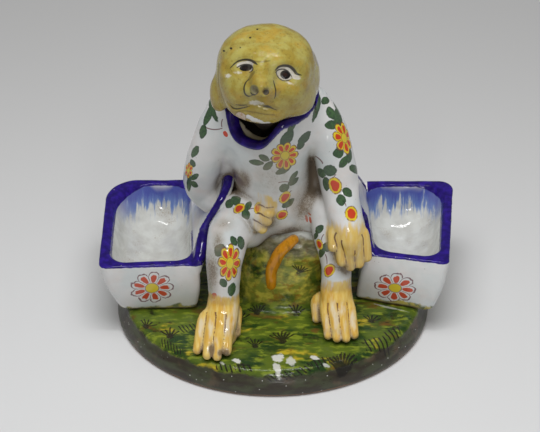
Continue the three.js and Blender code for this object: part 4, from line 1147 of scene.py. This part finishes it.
def skull(points, inset=0.0):
    z = points[:, 2]
    down = HEAD["z"] - z
    half = HEAD["half_height"] - inset + np.where(down > 0, HEAD["chin"], 0.0)
    high = np.abs(down) / half
    grow = HEAD["jaw"] * eased(down / half, 0.2, 1.0)
    back = eased(down, 8.0, HEAD["z"] - HEAD["bottom"])
    middle = (HEAD["y"] - grow) * (1 - back) + HEAD["neck_y"] * back
    rx, ry = HEAD["half_width"] - inset + grow, HEAD["half_depth"] - inset + grow
    across = np.hypot((points[:, 0] - HEAD["x"]) / rx, (points[:, 1] - middle) / ry)
    power = HEAD["square"] + (HEAD["crown"] - HEAD["square"]) * eased(z, 146, 156)
    whole = (across ** power + high ** power) ** (1 / power)
    return (whole - 1.0) * (HEAD["half_depth"] - 0.6 - inset)


def lobe(points, centre, sizes, lean):
    c, s = math.cos(math.radians(lean)), math.sin(math.radians(lean))
    p = points - np.array(centre)
    p = np.stack([p[:, 0] * c - p[:, 2] * s, p[:, 1], p[:, 0] * s + p[:, 2] * c], -1)
    whole = np.linalg.norm(p / sizes, axis=1)
    return whole * (whole - 1) / np.maximum(np.linalg.norm(p / np.square(sizes), axis=1), 1e-6)


def ball(points, centre, radius):
    return np.linalg.norm(points - centre, axis=1) - radius


BROW = pinch(skull, [(225, 68), (231, 60), (240, 55), (249, 52.5), (262, 53.5), (275, 56), (285, 59),
                     (295, 64), (303, 73)], 5.0, [0.2, 0.5, 0.7, 0.8, 0.8, 0.8, 0.7, 0.5, 0.2])
SOCKETS = pinch(skull, [(245, 69), (286, 76)], 7.0, 12.0)
NOSE = pinch(skull, [(261, 66), (261, 76), (262, 85), (262, 90)], [3.6, 4.4, 5.5, 5.2],
             [2.3, 4.1, 5.7, 4.6])
WINGS = pinch(skull, [(251, 89.5), (272, 90)], [3.7, 3.4], [3.1, 2.8])
MUZZLE = pinch(skull, [(240, 104), (252, 104), (266, 107)], [9.0, 10.0, 9.0], [1.1, 1.7, 1.1])
CHIN = pinch(skull, [(237, 111), (247, 114), (259, 116.5), (271, 117), (280, 115)],
             [4.0, 5.0, 5.5, 5.0, 4.0], [1.0, 1.9, 2.4, 2.1, 1.2])
CHEEKS = pinch(skull, [(231, 90), (293, 97)], [9.0, 9.0], [1.0, 0.8])
JOWL = ((7.0, -12.0, 139.4), (9.0, 13.0, 9.0), 0)


def bare_face(points):
    face = flow(skull(points), roll(points, BROW, 3), EASE["brow"])
    for socket in SOCKETS:
        face = carve(face, ball(points, socket[:3], socket[3]), EASE["socket"])
    face = flow(face, roll(points, MUZZLE, 3), EASE["muzzle"])
    face = flow(face, roll(points, CHIN, 3), EASE["chin"])
    for cheek in CHEEKS:
        face = flow(face, ball(points, cheek[:3], cheek[3]), EASE["cheek"])
    face = flow(face, lobe(points, *JOWL), EASE["jowl"])
    face = flow(face, roll(points, NOSE, 3), EASE["nose"])
    for wing in WINGS:
        face = flow(face, ball(points, wing[:3], wing[3]), EASE["wing"])
    return face


EYEBALLS = pinch(bare_face, [(246, 68.5), (285, 75)], 4.6, [1.0, 1.0])
NOSTRILS = pinch(bare_face, [(254.5, 91), (266, 92)], [1.9, 1.6], [1.5, 1.4])
MOUTH = pinch(bare_face, [(229, 104), (234, 107.5), (240, 108), (247, 106.5), (252, 105), (258, 105),
                          (264, 106.5), (271, 108), (277, 110)], 0.9, 1.25)
EAR_GROOVE = pinch(skull, [(219, 68), (219.5, 80), (222, 94), (227, 107)], 1.4, 1.3)


def head_clay(points):
    z = points[:, 2]
    face = bare_face(points)
    for eye in EYEBALLS:
        face = flow(face, ball(points, eye[:3], eye[3]), EASE["eye"])
    for nostril in NOSTRILS:
        face = carve(face, ball(points, nostril[:3], nostril[3]), EASE["nostril"])
    face = carve(face, roll(points, MOUTH, 3), EASE["mouth"])
    face = flow(face, lobe(points, *EARS[0]), EASE["right_ear"])
    face = flow(face, lobe(points, *EARS[1]), EASE["left_ear"])
    face = carve(face, roll(points, EAR_GROOVE, 3), EASE["ear_groove"])
    face = face + 0.16 * uneven(points, 13, 17)
    face = turned(face, HEAD["bottom"] - z, 1.6)
    hollow = turned(skull(points, HEAD["wall"]), HEAD["bottom"] + 3.0 - z, 2.5)
    neck = np.hypot(points[:, 0] - HEAD["x"], points[:, 1] - HEAD["neck_y"]) - HEAD["opening"]
    hollow = np.minimum(hollow, np.maximum(neck, z - HEAD["z"]))
    return np.maximum(face, -hollow)


head, points, normal, quads = skin("monkey_head", head_clay, (-36, -37, 123), (21, 19, 171), step=0.45)
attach(head, "head")
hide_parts("head_shell", "right_ear", "left_ear")

# Brush strokes in picture points, as x, y and half width along each: firm ones, then faint ones. The
# ovals after them are x, y, half length, half width and angle: the whites and irises of the eyes, a
# grey nostril, pinholes, pale patches that are painted highlights and partly worn glaze, and a chip.
# The last stroke is the chipped edge of the chin.
INK = [
    [(230, 68.4, .35), (234.8, 63.4, .7), (239.4, 60.7, .8), (245, 59.6, .9), (250.5, 60.3, 1.2),
     (254.2, 62.3, 1.2), (257.2, 64.5, .5)],
    [(275.3, 70.3, .5), (278.7, 66.9, 1.0), (283.8, 65.6, 1.2), (289.4, 66.4, 1.4), (293.5, 69.7, 1.5),
     (296.8, 73.8, 1.2), (301.6, 75.2, .4)],
    [(236.6, 67.8, .4), (240.4, 65.6, .7), (245.5, 64.4, .8), (250.2, 65.2, .8), (252.6, 67.5, .6),
     (252.4, 70.3, .5), (249.4, 72.6, .3)],
    [(275.6, 72.6, .4), (278.3, 70, .6), (282.4, 69.2, .6), (286.6, 70.3, .65), (289.8, 73.5, .55),
     (292.3, 78, .3)],
    [(276.3, 73, .4), (277.8, 76.6, .5), (281, 79.6, .5), (284.3, 80.7, .45), (288.4, 80.3, .4),
     (291.5, 78.6, .3)],
    [(248.7, 79.2, .3), (245.4, 83.1, .6), (244, 88.6, .7), (245, 93.7, .7), (248.2, 96.2, .6),
     (252.2, 95.6, .3)],
    [(273.4, 80.6, .3), (274.7, 85.9, .55), (275.7, 90.5, .6), (275.3, 96, .5), (274.2, 98.8, .3)],
    [(230.3, 105.3, .3), (233.9, 108.4, .6), (238.5, 108.8, .6), (244, 107.5, .6), (249.8, 106.1, .3)],
    [(235.7, 104.6, .3), (241.3, 105.2, .5), (247, 105, .3)],
    [(262.8, 106, .4), (267, 106.4, 1.2), (270, 107.2, .9), (273, 108.6, .5), (276.8, 110.1, .3)],
    [(250.6, 92.5, .4), (252.6, 94.6, .7), (256, 94.2, .6), (258.6, 91.5, .4)],
]
# The second faint stroke is painted shade down the left side of the nose
FAINT = [
    [(254.2, 61.2, .5), (259.8, 61.9, .6), (265.3, 61.5, .6), (270, 60.7, .3)],
    [(254.2, 72, .8), (250.8, 76.5, 1.0), (248.6, 80, .6)],
    [(235.7, 112, .3), (243.1, 110.8, .4), (254.2, 112.2, .4), (264.4, 114.1, .4), (274.6, 115, .3)],
    [(312.2, 52, .5), (315, 57, 1.0), (318, 64.5, .5)],
]
WHITES = [(245, 64.6, 8.6, 3.6, 6), (251.2, 68.2, 1.6, 3.4, -15), (285.2, 73.4, 9.2, 6.8, -10),
          (295.5, 77, 5.5, 2.4, -15)]
IRIS = [(245.7, 67.9, 6.3, 3.3, 4), (285.3, 74.7, 5.2, 4.5, -10)]
GREY = [(254.0, 89.4, 4.6, 4.9, 0)]
HOLES = [(266.2, 92.2, 3.1, 2.8, 20), (257.3, 29.3, 1.1, .8, 0), (250.2, 37.6, 1.2, .8, 0),
         (231.1, 48.4, 1.1, 1.4, 60), (223.9, 50.9, 1.0, 1.2, 60), (240.3, 47.6, .9, .6, 30),
         (269, 42, .5, .4, 0), (298, 44, .5, .5, 0), (285, 36, .5, .4, 0), (262, 47, .4, .4, 0)]
GLINTS_AND_WEAR = [(255.1, 102.6, 6.0, 2.6, 0), (227.8, 76, 3.2, 2.4, 10), (238.4, 72.6, 3.8, 1.5, -5),
           (290, 83, 4.5, 1.2, -20), (262, 103.5, 3, 1.8, 0)]
CHIPS = [(240.8, 116.8, 5.6, 4.4, -20)]
CHIP_EDGE = [(247.5, 116.8, 1.8), (253, 119, 2.2), (258.5, 121, 1.8), (265.3, 122.8, 1.0),
             (274.6, 123.6, 0.8), (281, 122, 0.5)]

seen = in_picture(points)
faces_us = (normal @ BACKWARD > 0.08) & (skull(points) > -2.6)


def from_strokes(strokes):
    far = np.full(len(points), 9.0)
    for stroke in strokes:
        line = path_of(stroke, 4)
        for a, b in zip(line, line[1:]):
            step = b[:2] - a[:2]
            t = np.clip((seen - a[:2]) @ step / max(step @ step, 1e-9), 0, 1)
            gap = np.linalg.norm(seen - a[:2] - t[:, None] * step, axis=1) - (a[2] + t * (b[2] - a[2]))
            far = np.minimum(far, gap)
    return np.where(faces_us, far, 9.0)


def from_ovals(ovals):
    far = np.full(len(points), 9.0)
    for x, y, long, wide, angle in ovals:
        c, s = math.cos(math.radians(angle)), math.sin(math.radians(angle))
        dx, dy = seen[:, 0] - x, y - seen[:, 1]
        u, v = (dx * c + dy * s) / long, (dy * c - dx * s) / wide
        far = np.minimum(far, (np.hypot(u, v) - 1) * min(long, wide))
    return np.where(faces_us, far, 9.0)


note(head, ink=from_strokes(INK), faint=from_strokes(FAINT), whites=from_ovals(WHITES),
     iris=from_ovals(IRIS), grey=from_ovals(GREY), holes=from_ovals(HOLES), patch=from_ovals(GLINTS_AND_WEAR),
     chip=from_ovals(CHIPS), chip_edge=from_strokes([CHIP_EDGE]),
     shut=crevice(head_clay, points, normal), within=skull(points))

OCHRE = {"olive": (0.30, 0.225, 0.036), "straw": (0.375, 0.33, 0.085), "orange": (0.41, 0.25, 0.028),
         "amber": (0.38, 0.24, 0.016), "brown": (0.16, 0.115, 0.022), "pinhole": (0.09, 0.06, 0.02),
         "grey": (0.36, 0.35, 0.19), "cream": (0.58, 0.53, 0.30), "thin_ink_and_shade": (0.085, 0.060, 0.014),
         "glint_and_bare": (0.62, 0.60, 0.55), "nostril": (0.16, 0.155, 0.065), "white": (0.56, 0.53, 0.47),
         "stained": (0.42, 0.37, 0.26), "pupil": (0.010, 0.008, 0.007), "iris": (0.045, 0.016, 0.010),
         "ink": (0.020, 0.019, 0.018), "hole": (0.018, 0.014, 0.008), "glaze_edge": (0.66, 0.66, 0.64),
         "red_clay": (0.44, 0.28, 0.17), "pale_clay": (0.60, 0.52, 0.42), "bare": (0.40, 0.33, 0.24)}

ochre = Paint("ochre_glaze")
mottle = ochre.noise(6.5, detail=5, rough=0.62, shift=2)
speckle = ochre.noise(1.4, detail=4, rough=0.7, shift=9)
lower = ochre.z.rise(152, 138)
side = ochre.x.rise(4, 14)
glint_and_bare = ochre.kept("patch") + (speckle - 0.5) * 5.0
grey_nostril = ochre.kept("grey") + (speckle - 0.5)
eye_white = ochre.mix(speckle.rise(0.4, 0.7), OCHRE["white"], OCHRE["stained"])
iris = ochre.mix(ochre.kept("iris").rise(-2.0, -3.2) * 0.4, OCHRE["pupil"], OCHRE["iris"])
ragged = (ochre.noise(3.0, detail=5, rough=0.7, shift=33) - 0.5) * 6.0
edge = (ochre.kept("chip_edge") + ragged).rise(0.5, 0.0)
chip = (ochre.kept("chip") + ragged * 0.7).rise(0.3, -0.3)
colour = ochre.coats(
    ochre.mix(mottle.rise(0.36, 0.62), OCHRE["olive"], OCHRE["straw"]),
    (ochre.noise(8, shift=21).rise(0.5, 0.68) * 0.55, OCHRE["orange"]),
    (lower * speckle.rise(0.3, 0.62) * 0.6, OCHRE["amber"]),
    (speckle.rise(0.53, 0.7) * 0.6, OCHRE["brown"]),
    (ochre.specks(3.6, 0.10, 7.0) * 0.6, OCHRE["pinhole"]),
    (side * lower * 0.55, OCHRE["grey"]),
    ((speckle * mottle).rise(0.33, 0.42) * 0.35, OCHRE["cream"]),
    # Faint strokes: thin manganese lines, and painted shade beside the nose
    (ochre.kept("faint").rise(0.9, -0.3) * 0.55, OCHRE["thin_ink_and_shade"]),
    # Painted highlights, and pale worn glaze
    (glint_and_bare.rise(0.4, -1.2) * 0.8, OCHRE["glint_and_bare"]),
    (grey_nostril.rise(0.4, -0.8) * 0.85, OCHRE["nostril"]),
    (ochre.kept("whites").rise(0.25, -0.35), eye_white),
    (ochre.kept("iris").rise(0.25, -0.3), iris),
    (ochre.kept("ink").rise(0.35, -0.25) * 0.94, OCHRE["ink"]),
    (ochre.kept("holes").rise(0.3, -0.3), OCHRE["hole"]),
    (edge, OCHRE["glaze_edge"]),
    (chip, ochre.mix(speckle.rise(0.4, 0.6), OCHRE["red_clay"], OCHRE["pale_clay"])))
colour = ochre.mix(ochre.kept("within").rise(-2.2, -3.0), shade_and_dirt(ochre, colour, 0.7), OCHRE["bare"])
bumps = mottle * 0.8 + speckle * 0.22 - chip * 0.8 - edge * 0.3
head.data.materials.append(ochre.fire(colour, speckle * 0.06 + chip * 0.5 + 0.02, bumps, 0.5))


# Rocker. The head's stem is bare fired clay with a wire pin through it and an iron weight below,
# and it keeps its imported shape. Only a glimpse of it shows in the neck, so it is painted near
# black there as painted shade.
stem_shade_paint = Paint("stem_in_painted_shade")
grit = stem_shade_paint.noise(0.8, detail=5, rough=0.7)
stem_colour = stem_shade_paint.coats(
    stem_shade_paint.mix(stem_shade_paint.noise(7).rise(0.35, 0.65), (0.06, 0.042, 0.028), (0.035, 0.024, 0.016)),
    (grit.rise(0.55, 0.75) * 0.6, (0.018, 0.012, 0.008)))
stem_shade_finish = stem_shade_paint.fire(stem_colour, grit * 0.2 + 0.65, grit, 0.35)
iron = Paint("rusty_iron")
scale = iron.noise(1.1, detail=5, rough=0.7, shift=4)
iron_colour = iron.mix(scale.rise(0.42, 0.62), (0.06, 0.05, 0.045), (0.17, 0.075, 0.035))
iron.glaze.inputs["Metallic"].default_value = 0.6
rusty = iron.fire(iron_colour, scale * 0.3 + 0.45, scale, 0.3)
for name, finish in (("neck_stem", stem_shade_finish), ("counterweight", rusty), ("pivot_pin", rusty)):
    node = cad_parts[name]
    node.data.materials.clear()
    node.data.materials.append(finish)


# Studio. A pale sweep of paper, painted greyer towards the back as painted shade. The light is a broad
# white tent overhead that doesn't show in the glaze, with a narrow strip and a small window that do, in
# a dim room.
PAPER, BELOW = 1500.0, 0.2
ROOM, ROOM_LIGHT = (1.0, 0.99, 0.97, 1.0), 0.16
paper = bpy.data.meshes.new("paper")
paper.from_pydata([(x * PAPER * MM, y * PAPER * MM, -BELOW * MM)
                   for x, y in ((-1, -1), (1, -1), (1, 1), (-1, 1))], [], [(0, 1, 2, 3)])
floor = bpy.data.objects.new("paper", paper)
bpy.context.scene.collection.objects.link(floor)
sweep = Paint("grey_paper")
grey = sweep.mix(sweep.y.rise(-190, 330), (0.66, 0.665, 0.67), (0.52, 0.52, 0.52))
paper.materials.append(sweep.fire(grey, 0.9))


def softbox(name, place, aim, wide, deep, watts, mirrored=True):
    """A flat lamp; one that isn't mirrored doesn't show in the glaze."""
    light = bpy.data.lights.new(name, "AREA")
    light.shape, light.size, light.size_y, light.energy = "RECTANGLE", wide * MM, deep * MM, watts
    lamp = bpy.data.objects.new(name, light)
    bpy.context.scene.collection.objects.link(lamp)
    lamp.location = Vector(place) * MM
    lamp.rotation_euler = (Vector(aim) - Vector(place)).to_track_quat("-Z", "Y").to_euler()
    lamp.visible_glossy = mirrored


softbox("tent", (-10, -160, 880), (0, 0, 60), 860, 640, 6.9, mirrored=False)
softbox("strip", (0, -75, 900), (0, 0, 60), 400, 28, 1.3)
softbox("window", (60, -840, 350), (0, 0, 60), 90, 130, 0.85)
world = bpy.data.worlds.new("room")
bpy.context.scene.world = world
world.use_nodes = True
room = world.node_tree.nodes["Background"]
room.inputs["Color"].default_value = ROOM
room.inputs["Strength"].default_value = ROOM_LIGHT
bpy.context.scene.view_settings.view_transform = "Standard"
